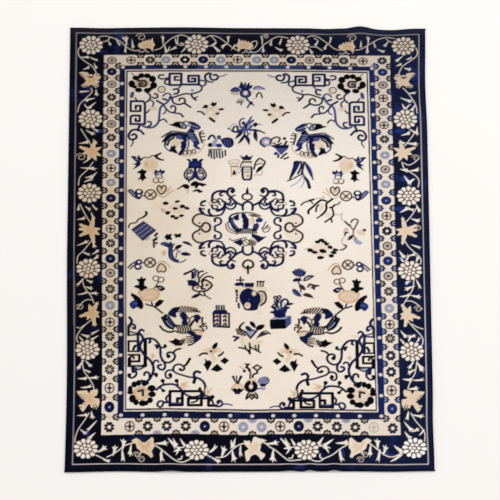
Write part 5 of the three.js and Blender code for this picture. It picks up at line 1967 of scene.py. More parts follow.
# %% A flowering plant in a box
BOX_GRID = (269, 299)
fine = bare.near(*BOX_GRID)
fine.facet("slate", 5, 40, 13, 35, 34, 34, 44, 34, 44, 49, 33, 59, 32, 41)
fine.facet("mist", 6, 40, 13, 36, 41, 34, 32, 40)
fine.facet("night", 2, 41, 33, 41, 33, 59, 4, 60, 2, 54)
fine.fill("navy", 9, 24, 15, 19, 24, 21, 31, 14, 36, 21, 33, 29, 31, 36, 13, 36)
fine.leaf("navy", 3.0, 15, 27, 1, 26)
fine.leaf("navy", 3.0, 16, 21, 3, 14)
fine.leaf("navy", 3.2, 31, 18, 42, 17)
fine.leaf("navy", 3.0, 33, 11, 50, 9)
fine.line("navy", 2.2, 17, 2, 16, 11, 20, 21)
for x, y in ((275.4, 297.6), (279.4, 297.0), (276.0, 301.8), (279.8, 301.2), (274.4, 305.6)):
    bare.ring("navy", 1.3, x, y, 1.6)
fine.line("navy", 1.9, 25, 20, 24, 9, 29, 1, 35, 1, 38, 6, 33, 14)
fine.line("mist", 1.2, 29, 13, 31, 7)
fine.oval("mist", 17, 20, 2.2, 1.8)
drawn("box")

# %% Cut flowers over a pale basket
BASKET_GRID = (233, 321)
fine = bare.near(*BASKET_GRID)
fine.fill("haze", 14, 29, 26, 28, 35, 35, 48, 36, 61, 39, 58, 48, 38, 53, 19, 51, 13, 40)
fine.leaf("sand", 3.0, 17, 32, 21, 49)
fine.leaf("sand", 3.0, 55, 39, 45, 51)
fine.line("black", 1.5, 22, 3, 16, 8, 13, 14, 18, 19, end=2.4)
for k in range(9):
    bare.leaf("umber", 2.0, 235.6 + 3 * (k % 3) + 0.8 * (k // 3), 330 + 2.1 * (k // 3) + 0.7 * (k % 3),
            238.6 + 3 * (k % 3) + 0.8 * (k // 3), 328.8 + 2.1 * (k // 3) + 0.7 * (k % 3))
fine.facet("mist", 25, 20, 34, 16, 47, 20, 42, 27, 36, 33)
fine.straight("navy", 1.6, 24, 21, 35, 34, 48, 19)
fine.line("navy", 1.2, 34, 16, 46, 20)
fine.leaf("navy", 4.6, 26, 11, 37, 20)
fine.leaf("black", 4.2, 35, 1, 45, 14)
fine.leaf("black", 5.6, 47, 16, 63, 8)
fine.line("umber", 1.0, 48, 34, 57, 23, 66, 20, 75, 26)
for k in range(6):
    bare.line("umber", 1.2, 259.2 + 1.9 * k, 336.8 - 0.7 * k, 262.4 + 1.3 * k, 332.4 + 0.2 * k)
fine.line("navy", 2.0, 1, 31, 11, 33)
fine.line("navy", 2.0, 3, 39, 11, 33)
fine.line("black", 1.6, 12, 53, 23, 55, 30, 59, 34, 65, end=2.2)
fine.line("black", 1.3, 24, 49, 26, 56)
fine.line("black", 1.5, 33, 44, 34, 54, 33, 64)
fine.line("black", 1.5, 33, 51, 42, 56, 55, 63)
fine.line("black", 1.3, 44, 49, 47, 57)
fine.line("black", 1.3, 51, 48, 51, 59)
drawn("basket")

# %% The footed vase between fruit bowls, at the near end
FOOTED_VASE_GRID = (230, 363)
fine = bare.near(*FOOTED_VASE_GRID)
fine.fill("sand", 31, 37, 37, 31, 44, 28, 52, 30, 53, 37, 41, 40)
fine.fill("tan", 2, 51, 7, 43, 14, 39, 25, 43, 28, 52, 20, 55, 8, 55)
fine.fill("sand", 7, 49, 12, 43, 21, 44, 24, 50, 14, 53)
fine.facet("black", 1, 51, 5, 53, 10, 50, 14, 53, 18, 50, 23, 53, 28, 52, 23, 58, 8, 58)
fine.facet("navy", 8, 57, 21, 57, 20, 62, 10, 62)
fine.line("black", 2.2, 6, 27, 10, 36, end=1.4)
fine.line("slate", 1.4, 13, 26, 14, 37, end=0.9)
fine.line("black", 2.6, 22, 27, 18, 36, end=1.6)
fine.fill("umber", 11, 36, 19, 36, 17, 42, 13, 41)
fine.oval("night", 42, 47, 13.8, 12.4)
fine.oval("blush", 42, 47, 4, 4.8)
fine.line("sand", 1.5, 43, 32, 43, 40)
fine.fill("sand", 36, 60, 51, 60, 54, 67, 43, 67, 33, 67)
fine.line("black", 1.5, 32, 72, 34, 65, 37, 60)
fine.line("black", 1.5, 34, 71, 39, 67, 44, 72, 48, 67, 54, 71, 55, 66, 51, 60)
fine.straight("black", 1.2, 38, 66, 41, 62, 44, 66, 47, 62, 50, 66)
fine.line("black", 1.4, 41, 18, 40, 30)
fine.line("black", 1.8, 45, 28, 47, 23, 54, 20, 54, 16)
fine.fill("blush", 48, 9, 55, 4, 61, 9, 54, 14)
fine.straight("umber", 1.6, 54, 15, 46, 9, 54, 4, 63, 9, 54, 15)
fine.facet("black", 27, 1, 41, 1, 36, 6, 37, 9, 41, 12, 42, 18, 37, 17, 35, 12, 30, 9, 33, 4)
fine.line("tan", 1.4, 19, 7, 27, 12, end=2.0)
fine.facet("black", 25, 17, 28, 12, 32, 16, 30, 19)
fine.oval("mist", 67, 35, 11.8, 7.6)
fine.line("slate", 1.0, 66, 28, 74, 29, 78, 34, 76, 40, 72, 42)
for k in range(5):
    bare.line("slate", 0.6, 257.6 + 2.0 * k, 382.6, 260.4 + 2.0 * k, 378.4)
fine.facet("navy", 58, 41, 74, 41, 70, 47, 62, 47)
fine.fill("mist", 62, 49, 72, 49, 69, 54, 64, 54)
fine.line("slate", 1.2, 55, 52, 63, 50)
drawn("footed vase")

# %% [markdown]
# ## Foundation and pile
# A knotted rug is two layers. Cotton warps and wefts make the foundation, three millimetres with the
# backs of the knots, and shears level the pile above it. A particle system could grow the pile, but
# three hundred and seventy-five thousand tufts would drown the scene in hairs that no eye can part
# at this distance. So the pile is a fine sheet with one vertex for each knot. Each vertex holds the
# dye of its knot, and its height wanders a little, because shears never cut quite level.
#
# One sheet of all the knots would be too heavy for one piece. The pile is six panels that share
# their edge knots and take their normals from the whole sheet, so that no seam shows. The foundation
# below is one closed slab.

# %% Where the knots are
SIDE_STEPS = 900
TUCK = 0.002
there = np.linspace(-1, 1, SIDE_STEPS)
outline_x = np.concatenate([there, np.ones(SIDE_STEPS), there[::-1], -np.ones(SIDE_STEPS)])
outline_y = np.roll(outline_x, SIDE_STEPS)
edge_x, edge_y, _ = lie(outline_x * WIDTH / 2, -outline_y * LENGTH / 2)
MIDDLE = ((edge_x.min() + edge_x.max()) / 2, (edge_y.min() + edge_y.max()) / 2)
CLEAR = BINDING_WIDTH - TUCK
knot_x = np.clip(np.arange(KNOTS_ACROSS + 1) * KNOT - WIDTH / 2, CLEAR - WIDTH / 2, WIDTH / 2 - CLEAR)
knot_y = np.clip(np.arange(KNOTS_ALONG + 1) * KNOT - LENGTH / 2, CLEAR - LENGTH / 2, LENGTH / 2 - CLEAR)
keep_x = np.flatnonzero(np.diff(knot_x, prepend=-9) > 0)
keep_y = np.flatnonzero(np.diff(knot_y, prepend=-9) > 0)
print("middle of the outline", [round(float(v), 4) for v in MIDDLE])


def ramp_to_linear(inks):
    """Ink colours, named as a screen shows them, in the linear light that shaders reckon with."""
    share = np.array(inks) / 255
    return np.where(share <= 0.04045, share / 12.92, ((share + 0.055) / 1.055) ** 2.4)


# the fourth number of a dye is its share of indigo, because iron black takes neither the clouds of the dye
# nor the painted sheen
ink_light = [[*ramp_to_linear(levels), float(name != "black")] for name, levels in INKS.items()]
fine_light = np.array(ink_light)[cartoon]
knots = fine_light.reshape(KNOTS_ALONG + 1, FINE, KNOTS_ACROSS + 1, FINE, 4).mean((1, 3))
print("knots", knots.shape[:2], "mean dye", [round(float(v), 3) for v in knots.mean((0, 1))])


# %% A layer of the rug as a mesh
def cloud(shape, cells, seed):
    """Soft noise from minus one to one: random values on a coarse grid, blended between."""
    draw = np.random.default_rng(seed).uniform(-1, 1, (cells[0] + 2, cells[1] + 2))
    rows = np.linspace(0, cells[0], shape[0], endpoint=False)
    columns = np.linspace(0, cells[1], shape[1], endpoint=False)
    r, c = rows.astype(int), columns.astype(int)
    fr, fc = rows - r, columns - c
    fr, fc = fr * fr * (3 - 2 * fr), fc * fc * (3 - 2 * fc)
    top = draw[r][:, c] * (1 - fc) + draw[r][:, c + 1] * fc
    bottom = draw[r + 1][:, c] * (1 - fc) + draw[r + 1][:, c + 1] * fc
    return top * (1 - fr[:, None]) + bottom * fr[:, None]


def layer(name, xs, ys, bottom, top, colours, closed, slopes=None):
    """A layer between two heights over a grid of lines, which lies as the rug lies."""
    gx, gy = np.meshgrid(xs, ys)
    x, y, lift = lie(gx, gy)
    upper = np.stack([x - MIDDLE[0], y - MIDDLE[1], lift + top], -1).reshape(-1, 3)
    lower = np.stack([x - MIDDLE[0], y - MIDDLE[1], lift + bottom], -1).reshape(-1, 3)
    index = np.arange(gx.size).reshape(gx.shape)
    rim = np.concatenate([index[0], index[1:, -1], index[-1, -2::-1], index[-2:0:-1, 0]])
    patch = np.stack([index[:-1, :-1], index[:-1, 1:], index[1:, 1:], index[1:, :-1]], -1).reshape(-1, 4)
    if closed:
        foot = rim + gx.size
        quads = [patch, patch[:, ::-1] + gx.size]
        shades = np.concatenate([colours, colours])
    else:
        foot = np.arange(len(rim)) + gx.size
        quads = [patch]
        lower = lower[rim]
        shades = np.concatenate([colours, colours[rim]])
    walls = np.stack([foot, np.roll(foot, -1), np.roll(rim, -1), rim], 1)
    faces = np.concatenate(quads + [walls])
    points = np.concatenate([upper, lower])

    mesh = bpy.data.meshes.new(name)
    mesh.vertices.add(len(points))
    mesh.vertices.foreach_set("co", points.ravel())
    mesh.loops.add(faces.size)
    mesh.loops.foreach_set("vertex_index", faces.ravel())
    mesh.polygons.add(len(faces))
    mesh.polygons.foreach_set("loop_start", np.arange(len(faces)) * 4)
    mesh.update(calc_edges=True)
    mesh.validate()
    mesh.polygons.foreach_set("use_smooth", np.arange(len(faces)) < len(patch))
    dye = mesh.color_attributes.new("dye", "FLOAT_COLOR", "POINT")
    dye.data.foreach_set("color", shades.ravel())
    if slopes is not None:
        normals = np.concatenate([slopes, slopes[rim]])
        mesh.normals_split_custom_set_from_vertices(normals.tolist())
    piece = bpy.data.objects.new(name, mesh)
    bpy.context.scene.collection.objects.link(piece)
    return piece


sample = cloud((40, 40), (8, 8), 1)
print("soft noise from", round(float(sample.min()), 2), "to", round(float(sample.max()), 2))

# %% The foundation slab
SLAB_LINE = 0.0122
slab_x = np.linspace(CLEAR - WIDTH / 2, WIDTH / 2 - CLEAR, round(WIDTH / SLAB_LINE))
slab_y = np.linspace(CLEAR - LENGTH / 2, LENGTH / 2 - CLEAR, round(LENGTH / SLAB_LINE))
columns = np.round((slab_x + WIDTH / 2) / KNOT).astype(int)
rows = np.round((slab_y + LENGTH / 2) / KNOT).astype(int)
slab_dye = knots[rows][:, columns].reshape(-1, 4)
foundation = layer("foundation", slab_x, slab_y, 0.0, FOUNDATION, slab_dye, closed=True)
print("foundation", len(foundation.data.polygons), "faces")

# %% Six panels of pile
SHEAR = 0.00025
WEAR = 0.0004
BROAD_HOLLOWS = (24, 16)
SMALL_HOLLOWS = (70, 46)
PILE_FOOT = 0.9 * FOUNDATION
shape = (KNOTS_ALONG + 1, KNOTS_ACROSS + 1)
shear = np.random.default_rng(7).uniform(-1, 1, shape) * SHEAR
wear = WEAR * (cloud(shape, BROAD_HOLLOWS, 5) + 0.5 * cloud(shape, SMALL_HOLLOWS, 6)) - WEAR
pile_top = FOUNDATION + PILE + shear + wear
slope_y, slope_x = np.gradient(pile_top + lie(*np.meshgrid(knot_x, knot_y))[2], KNOT)
knot_normals = np.stack([-slope_x, -slope_y, np.ones(shape)], -1)
knot_normals /= np.linalg.norm(knot_normals, axis=-1, keepdims=True)

panels = []
for band, ys in enumerate(np.array_split(keep_y, 3)):
    last_y = min(ys[-1] + 1, keep_y[-1])
    rows = np.arange(ys[0], last_y + 1)
    for half, xs in enumerate(np.array_split(keep_x, 2)):
        last_x = min(xs[-1] + 1, keep_x[-1])
        columns = np.arange(xs[0], last_x + 1)
        part = np.ix_(rows, columns)
        name = f"pile_{('near', 'middle', 'far')[band]}_{('left', 'right')[half]}"
        panel = layer(
            name, knot_x[columns], knot_y[rows], PILE_FOOT, pile_top[part],
            knots[part].reshape(-1, 4), closed=False, slopes=knot_normals[part].reshape(-1, 3),
        )
        panels.append(panel)
        print(name, len(panel.data.polygons), "faces")

# %% [markdown]
# ## Overcast edges
# The sides and ends are bound with dark wool, wrapped round and round the outermost warps. A smooth
# tube would read as piping. A cord swept in a helix would do, but it can't follow a wavy edge without
# sliding. Geometry Nodes walks along the edge and sets one leaning wrap of yarn after another, each
# turned and swollen a little differently by a seeded draw, over a plain core that closes the gaps.

# %% The wrap nodes
WRAP_PITCH = 0.0062
WRAP_YARN = 0.0021
WRAP_SIDES = 9
YARN_SIDES = 5
CORE_SIDES = 8
CORE_SHARE = 0.36


def edge_line(name, xs, ys):
    """The middle of a bound edge as a mesh of single edges, which the nodes turn into a curve."""
    x, y, lift = lie(xs, ys)
    points = np.stack([x - MIDDLE[0], y - MIDDLE[1], lift + BINDING_HEIGHT / 2], -1)
    mesh = bpy.data.meshes.new(name)
    mesh.from_pydata(points.tolist(), [(k, k + 1) for k in range(len(points) - 1)], [])
    piece = bpy.data.objects.new(name, mesh)
    bpy.context.scene.collection.objects.link(piece)
    return piece


def overcast_nodes():
    """A node tree that wraps yarn round a line of edges, with named inputs and a seed."""
    tree = bpy.data.node_groups.new("Overcast edge", "GeometryNodeTree")
    face = tree.interface
    face.new_socket("Geometry", in_out="INPUT", socket_type="NodeSocketGeometry")
    for socket_name, value in (
        ("Pitch", WRAP_PITCH), ("Yarn", WRAP_YARN), ("Width", BINDING_WIDTH), ("Height", BINDING_HEIGHT),
        ("Lean", 0.42), ("Unevenness", 0.16),
    ):
        socket = face.new_socket(socket_name, in_out="INPUT", socket_type="NodeSocketFloat")
        socket.default_value = value
    face.new_socket("Seed", in_out="INPUT", socket_type="NodeSocketInt").default_value = 3
    face.new_socket("Wool", in_out="INPUT", socket_type="NodeSocketMaterial")
    face.new_socket("Geometry", in_out="OUTPUT", socket_type="NodeSocketGeometry")
    node, link = tree.nodes.new, tree.links.new
    given, made = node("NodeGroupInput"), node("NodeGroupOutput")

    to_curve = node("GeometryNodeMeshToCurve")
    link(given.outputs["Geometry"], to_curve.inputs["Mesh"])
    to_points = node("GeometryNodeCurveToPoints")
    to_points.mode = "LENGTH"
    link(to_curve.outputs["Curve"], to_points.inputs["Curve"])
    link(given.outputs["Pitch"], to_points.inputs["Length"])

    def scaled(socket, factor):
        times = node("ShaderNodeMath")
        times.operation = "MULTIPLY"
        times.inputs[1].default_value = factor
        link(given.outputs[socket], times.inputs[0])
        return times.outputs[0]

    def random_vector(low, high, offset):
        draw = node("FunctionNodeRandomValue")
        draw.data_type = "FLOAT_VECTOR"
        draw.inputs["Min"].default_value = low
        draw.inputs["Max"].default_value = high
        add = node("ShaderNodeMath")
        add.inputs[1].default_value = offset
        link(given.outputs["Seed"], add.inputs[0])
        link(add.outputs[0], draw.inputs["Seed"])
        return draw.outputs["Value"]

    # one wrap: a ring of yarn, as wide and as high as the bound edge
    circle = node("GeometryNodeCurvePrimitiveCircle")
    circle.inputs["Resolution"].default_value = WRAP_SIDES
    circle.inputs["Radius"].default_value = 0.5
    yarn = node("GeometryNodeCurvePrimitiveCircle")
    yarn.inputs["Resolution"].default_value = YARN_SIDES
    link(given.outputs["Yarn"], yarn.inputs["Radius"])
    shape = node("ShaderNodeCombineXYZ")
    for socket, axis in (("Width", "X"), ("Height", "Y")):
        inner = node("ShaderNodeMath")
        inner.operation = "SUBTRACT"
        link(given.outputs[socket], inner.inputs[0])
        link(scaled("Yarn", 2.0), inner.inputs[1])
        link(inner.outputs[0], shape.inputs[axis])
    oval = node("GeometryNodeTransform")
    link(circle.outputs["Curve"], oval.inputs["Geometry"])
    link(shape.outputs[0], oval.inputs["Scale"])
    ring = node("GeometryNodeCurveToMesh")
    link(oval.outputs["Geometry"], ring.inputs["Curve"])
    link(yarn.outputs["Curve"], ring.inputs["Profile Curve"])

    # the ring's flat side faces along the edge, then leans
    align = node("FunctionNodeAlignRotationToVector")
    align.axis = "Z"
    align.pivot_axis = "AUTO"
    link(to_points.outputs["Tangent"], align.inputs["Vector"])
    wraps = node("GeometryNodeInstanceOnPoints")
    link(to_points.outputs["Points"], wraps.inputs["Points"])
    link(ring.outputs["Mesh"], wraps.inputs["Instance"])
    link(align.outputs["Rotation"], wraps.inputs["Rotation"])
    leaning = node("GeometryNodeRotateInstances")
    lean = node("ShaderNodeCombineXYZ")
    link(given.outputs["Lean"], lean.inputs["Y"])
    wobble = node("ShaderNodeVectorMath")
    wobble.operation = "ADD"
    link(lean.outputs[0], wobble.inputs[0])
    link(random_vector((-0.12, -0.12, -0.3), (0.12, 0.12, 0.3), 1), wobble.inputs[1])
    link(wraps.outputs["Instances"], leaning.inputs["Instances"])
    link(wobble.outputs[0], leaning.inputs["Rotation"])
    swollen = node("GeometryNodeScaleInstances")
    link(leaning.outputs["Instances"], swollen.inputs["Instances"])
    link(random_vector((0.93, 0.93, 0.9), (1.0, 1.0, 1.1), 2), swollen.inputs["Scale"])
    real = node("GeometryNodeRealizeInstances")
    link(swollen.outputs["Instances"], real.inputs["Geometry"])

    # the core, a plain tube inside the wraps
    tube = node("GeometryNodeCurveToMesh")
    section = node("GeometryNodeCurvePrimitiveCircle")
    section.inputs["Resolution"].default_value = CORE_SIDES
    link(scaled("Height", CORE_SHARE), section.inputs["Radius"])
    link(to_curve.outputs["Curve"], tube.inputs["Curve"])
    link(section.outputs["Curve"], tube.inputs["Profile Curve"])
    tube.inputs["Fill Caps"].default_value = True

    join = node("GeometryNodeJoinGeometry")
    link(real.outputs["Geometry"], join.inputs["Geometry"])
    link(tube.outputs["Mesh"], join.inputs["Geometry"])
    finish = node("GeometryNodeSetMaterial")
    link(join.outputs["Geometry"], finish.inputs["Geometry"])
    link(given.outputs["Wool"], finish.inputs["Material"])
    link(finish.outputs["Geometry"], made.inputs["Geometry"])
    return tree


def wrapped(line, tree, wool, seed):
    """Runs the nodes on a line of edges and keeps the result as a plain mesh."""
    modifier = line.modifiers.new("Overcast", "NODES")
    modifier.node_group = tree
    sockets = {item.name: item.identifier for item in tree.interface.items_tree if item.in_out == "INPUT"}
    modifier[sockets["Seed"]] = seed
    modifier[sockets["Wool"]] = wool
    graph = bpy.context.evaluated_depsgraph_get()
    mesh = bpy.data.meshes.new_from_object(line.evaluated_get(graph))
    line.modifiers.remove(modifier)
    line.data = mesh
    mesh.name = line.name
    mesh.polygons.foreach_set("use_smooth", np.ones(len(mesh.polygons), bool))
    return line


overcast = overcast_nodes()
print(overcast.name, "has", len(overcast.nodes), "nodes")

# %% [markdown]
# ## The wool
# Indigo takes unevenly. Each batch of yarn comes out of the vat a little lighter or darker, and a
# band or a patch of the ground shows where the weaver changed batch. The ivory is undyed wool that
# has mellowed in clouds, and a century of feet has worn and soiled it. Over these the colour holds
# painted light: painted shade greys the pale wool towards the far end and darkens it at the left,
# and a painted sheen lightens the dark wool down the right side and along the far end. These effects
# are shared by every piece, so each is a node group with named inputs, and a material is a short
# chain of them.
# Everything reads Object coordinates, which are metres in the rug's own frame, so that a panel's wool
# runs on into the next one.

# %% A helper for node trees
class Graph:
    """Adds nodes to a tree, sets constants on their sockets and joins the rest."""

    def __init__(self, tree):
        self.tree = tree

    def give(self, socket, value):
        if isinstance(value, bpy.types.NodeSocket):
            self.tree.links.new(value, socket)
        else:
            socket.default_value = value

    def node(self, kind, **settings):
        made = self.tree.nodes.new(kind)
        for name, value in settings.items():
            setattr(made, name, value)
        return made

    def math(self, operation, first, second=0.0, clamp=False):
        made = self.node("ShaderNodeMath", operation=operation, use_clamp=clamp)
        self.give(made.inputs[0], first)
        self.give(made.inputs[1], second)
        return made.outputs[0]

    def stretch(self, value, low, high, to_low=0.0, to_high=1.0):
        made = self.node("ShaderNodeMapRange", interpolation_type="SMOOTHSTEP")
        ends = (("From Min", low), ("From Max", high), ("To Min", to_low), ("To Max", to_high))
        for name, given in (("Value", value), *ends):
            self.give(made.inputs[name], given)
        return made.outputs[0]

    def noise(self, place, scale, detail=2.0, roughness=0.5):
        made = self.node("ShaderNodeTexNoise")
        self.give(made.inputs["Vector"], place)
        for name, given in (("Scale", scale), ("Detail", detail), ("Roughness", roughness)):
            self.give(made.inputs[name], given)
        return made.outputs[0]

    def scaled(self, place, factors):
        made = self.node("ShaderNodeVectorMath", operation="MULTIPLY")
        self.give(made.inputs[0], place)
        made.inputs[1].default_value = factors
        return made.outputs[0]

    def mix(self, factor, first, second, blend="MIX"):
        made = self.node("ShaderNodeMix", data_type="RGBA", blend_type=blend)
        made.clamp_factor = True
        self.give(made.inputs[0], factor)
        self.give(made.inputs[6], first)
        self.give(made.inputs[7], second)
        return made.outputs[2]

    def group(self, tree, **given):
        made = self.node("ShaderNodeGroup", node_tree=tree)
        for name, value in given.items():
            self.give(made.inputs[name], value)
        return made


def new_group(name, inputs, outputs):
    """An empty shader node group; sockets are named, and floats, colours and vectors have defaults."""
    kinds = {float: "NodeSocketFloat", tuple: "NodeSocketColor", str: "NodeSocketVector"}
    tree = bpy.data.node_groups.new(name, "ShaderNodeTree")
    for socket_name, default in inputs.items():
        kind = kinds[type(default)]
        socket = tree.interface.new_socket(socket_name, in_out="INPUT", socket_type=kind)
        if not isinstance(default, str):
            socket.default_value = default
    for socket_name, kind in outputs.items():
        tree.interface.new_socket(socket_name, in_out="OUTPUT", socket_type=f"NodeSocket{kind}")
    graph = Graph(tree)
    return graph, graph.node("NodeGroupInput").outputs, graph.node("NodeGroupOutput").inputs


def screen(*levels):
    """A colour, given as a screen shows it, in linear light."""
    return (*ramp_to_linear(levels).tolist(), 1.0)


print("ivory in linear light", [round(v, 3) for v in screen(*INKS["ivory"])])

# %% Group: knot rows and fibres
def knot_relief_group():
    """A height from nought to one: the rows of knots, blurred by the fibres that lean across them."""
    graph, given, made = new_group(
        "Knot relief", {"Place": "", "Rows": 1.0, "Fibre": 0.5}, {"Height": "Float", "Fleck": "Float"}
    )
    bent = graph.noise(given["Place"], 42.0, 2.0)
    parts = graph.node("ShaderNodeSeparateXYZ")
    graph.give(parts.inputs[0], given["Place"])
    across = graph.math("ADD", parts.outputs["X"], graph.math("MULTIPLY", bent, 0.004))
    along = graph.math("ADD", parts.outputs["Y"], graph.math("MULTIPLY", bent, 0.003))
    waves = []
    for value, pitch in ((across, KNOT), (along, KNOT)):
        turned = graph.math("MULTIPLY", value, 2 * math.pi / pitch)
        waves.append(graph.math("MULTIPLY_ADD", graph.math("SINE", turned), 0.5))
        waves[-1].node.inputs[2].default_value = 0.5
    rows = graph.math("MULTIPLY", graph.math("ADD", waves[0], waves[1]), 0.5)
    fibres = graph.noise(graph.scaled(given["Place"], (1.0, 0.55, 1.0)), 760.0, 3.0, 0.6)
    height = graph.math("MULTIPLY", rows, given["Rows"])
    height = graph.math("ADD", height, graph.math("MULTIPLY", fibres, given["Fibre"]))
    graph.give(made["Height"], height)
    graph.give(made["Fleck"], graph.noise(given["Place"], 330.0, 2.0, 0.7))
    return graph.tree


knot_relief = knot_relief_group()
print("group", knot_relief.name)


# %% Group: abrash, the uneven dye
FRESH_INDIGO = screen(26, 40, 98)


def abrash_group():
    """The changes of batch, the rows and the blue patches, which are weak at the near left."""
    graph, given, made = new_group(
        "Abrash",
        {"Dye": (0.5, 0.5, 0.5, 1.0), "Indigo": 1.0, "Place": "", "Patches": 1.0, "Streaks": 1.0},
        {"Colour": "Color", "Darkness": "Float"},
    )
    grey = graph.node("ShaderNodeRGBToBW")
    graph.give(grey.inputs[0], given["Dye"])
    darkness = graph.math("MULTIPLY", graph.stretch(grey.outputs[0], 0.10, 0.015), given["Indigo"])
    broad = graph.noise(given["Place"], 6.5, 3.0, 0.62)
    ragged = graph.noise(graph.scaled(given["Place"], (1.0, 1.9, 1.0)), 34.0, 2.0, 0.6)
    patchy = graph.math("ADD", broad, graph.math("MULTIPLY", graph.math("SUBTRACT", ragged, 0.5), 0.22))
    patch = graph.stretch(patchy, 0.56, 0.72)
    patch = graph.math("MULTIPLY", graph.math("MULTIPLY", patch, darkness), given["Patches"])
    parts = graph.node("ShaderNodeSeparateXYZ")
    graph.give(parts.inputs[0], given["Place"])
    leftmost = graph.stretch(parts.outputs["X"], -0.55, -0.75)
    calm = graph.math("MULTIPLY", leftmost, graph.stretch(parts.outputs["Y"], 0.1, -0.5))
    patch = graph.math("MULTIPLY", patch, graph.math("SUBTRACT", 1.0, graph.math("MULTIPLY", calm, 0.8)))
    blue = graph.mix(graph.math("MULTIPLY", patch, 0.7), given["Dye"], FRESH_INDIGO)
    batch = graph.noise(graph.scaled(given["Place"], (1.2, 26.0, 1.0)), 1.0, 4.0, 0.6)
    rows = graph.noise(graph.scaled(given["Place"], (5.0, 190.0, 1.0)), 1.0, 2.0, 0.5)
    uneven = graph.math("ADD", graph.math("MULTIPLY", batch, 0.10), graph.math("MULTIPLY", rows, 0.06))
    uneven = graph.math("MULTIPLY", graph.math("SUBTRACT", uneven, 0.08), given["Streaks"])
    level = graph.math("ADD", 1.0, uneven)
    shade = graph.node("ShaderNodeVectorMath", operation="SCALE")
    graph.give(shade.inputs[0], blue)
    graph.give(shade.inputs["Scale"], level)
    graph.give(made["Colour"], shade.outputs[0])
    graph.give(made["Darkness"], darkness)
    return graph.tree


abrash = abrash_group()
print("group", abrash.name)


# %% Group: mellowing, soil, painted shade and painted sheen
# painted shade: the pale wool is greyed towards this colour at the far end
FAR_SHADE_GREY = screen(217, 216, 214)
# a straw tone of the pale wool at the left, with painted shade that darkens it
LEFT_STRAW_AND_SHADE = screen(222, 217, 204)
CLOUD_CREAM = screen(238, 222, 196)
SPOT_TAN = screen(226, 206, 184)
NEAR_CREAM = screen(240, 222, 196)
# painted sheen: the dark wool is lightened towards this blue down the right side
SHEEN_INDIGO = screen(64, 86, 158)
# painted sheen: the dark wool of the far end is lightened towards this grey
HEM_SHEEN_GREY = screen(104, 108, 118)


def age_and_light_group():
    """Old wool: straw and painted shade at the left, painted shade at the far end, soil in spots; painted
    sheen on its dark.
    """
    graph, given, made = new_group(
        "Age",
        {"Colour": (0.5, 0.5, 0.5, 1.0), "Place": "", "Darkness": 0.0, "Mellow": 1.0, "Fading": 1.0},
        {"Colour": "Color", "Wear": "Float"},
    )
    parts = graph.node("ShaderNodeSeparateXYZ")
    graph.give(parts.inputs[0], given["Place"])
    x, y = parts.outputs["X"], parts.outputs["Y"]
    # the share of pale wool that takes the mellowing, the soil and the painted shade
    pale = graph.math("MULTIPLY", graph.math("SUBTRACT", 1.0, given["Darkness"]), given["Mellow"])
    # painted shade: the pale wool greys towards the far end
    far = graph.stretch(y, 0.30, 1.35)
    # the left: straw tone with painted shade, less towards the far end and the near end
    left = graph.stretch(x, 0.30, -1.10)
    for share, low, high in ((0.85, 0.30, 1.35), (0.80, -0.42, -0.85)):
        less = graph.math("MULTIPLY", graph.stretch(y, low, high), share)
        left = graph.math("MULTIPLY", left, graph.math("SUBTRACT", 1.0, less))
    clouds = graph.stretch(graph.noise(given["Place"], 2.3, 4.0, 0.6), 0.40, 0.70)
    warm = graph.math("MULTIPLY", graph.math("ADD", left, 0.25), clouds)
    near = graph.math("MULTIPLY", graph.stretch(y, 0.20, -0.45), graph.stretch(x, -0.62, -0.25))
    near = graph.math("MULTIPLY", near, graph.stretch(x, 0.72, 0.40))
    near = graph.math("MULTIPLY", near, graph.stretch(y, -1.12, -0.95))
    spots = graph.stretch(graph.noise(given["Place"], 9.0, 5.0, 0.7), 0.58, 0.76)
    colour = given["Colour"]
    # the far tint is painted shade and the left one a straw tone with painted shade; clouds and near cream
    # are warm tones, spots are soil
    for amount, share, tint in (
        (far, 1.0, FAR_SHADE_GREY), (left, 1.0, LEFT_STRAW_AND_SHADE), (warm, 0.50, CLOUD_CREAM), (spots, 0.30, SPOT_TAN),
        (near, 0.19, NEAR_CREAM),
    ):
        amount = graph.math("MULTIPLY", graph.math("MULTIPLY", amount, pale), share, clamp=True)
        colour = graph.mix(amount, colour, tint, blend="MULTIPLY")
    # painted sheen: the dark wool is lightened towards the right side, unevenly in patches
    rightwards = graph.stretch(x, 0.10, 0.95)
    sheen_patches = graph.stretch(graph.noise(given["Place"], 5.0, 4.0, 0.6), 0.35, 0.7, 0.6, 1.0)
    painted_sheen = graph.math("MULTIPLY", graph.math("MULTIPLY", rightwards, given["Darkness"]), given["Fading"])
    painted_sheen = graph.math("MULTIPLY", graph.math("MULTIPLY", painted_sheen, sheen_patches), 0.12)
    colour = graph.mix(painted_sheen, colour, SHEEN_INDIGO)
    # painted sheen: the dark wool along the far end is lightened a little
    hem_sheen = graph.math("MULTIPLY", graph.stretch(y, 1.26, 1.36), given["Darkness"])
    hem_sheen = graph.math("MULTIPLY", hem_sheen, 0.045)
    graph.give(made["Colour"], graph.mix(hem_sheen, colour, HEM_SHEEN_GREY))
    graph.give(made["Wear"], clouds)
    return graph.tree


age_and_light = age_and_light_group()
print("group", age_and_light.name)


# %% Materials
BACK_DULLNESS = 0.62


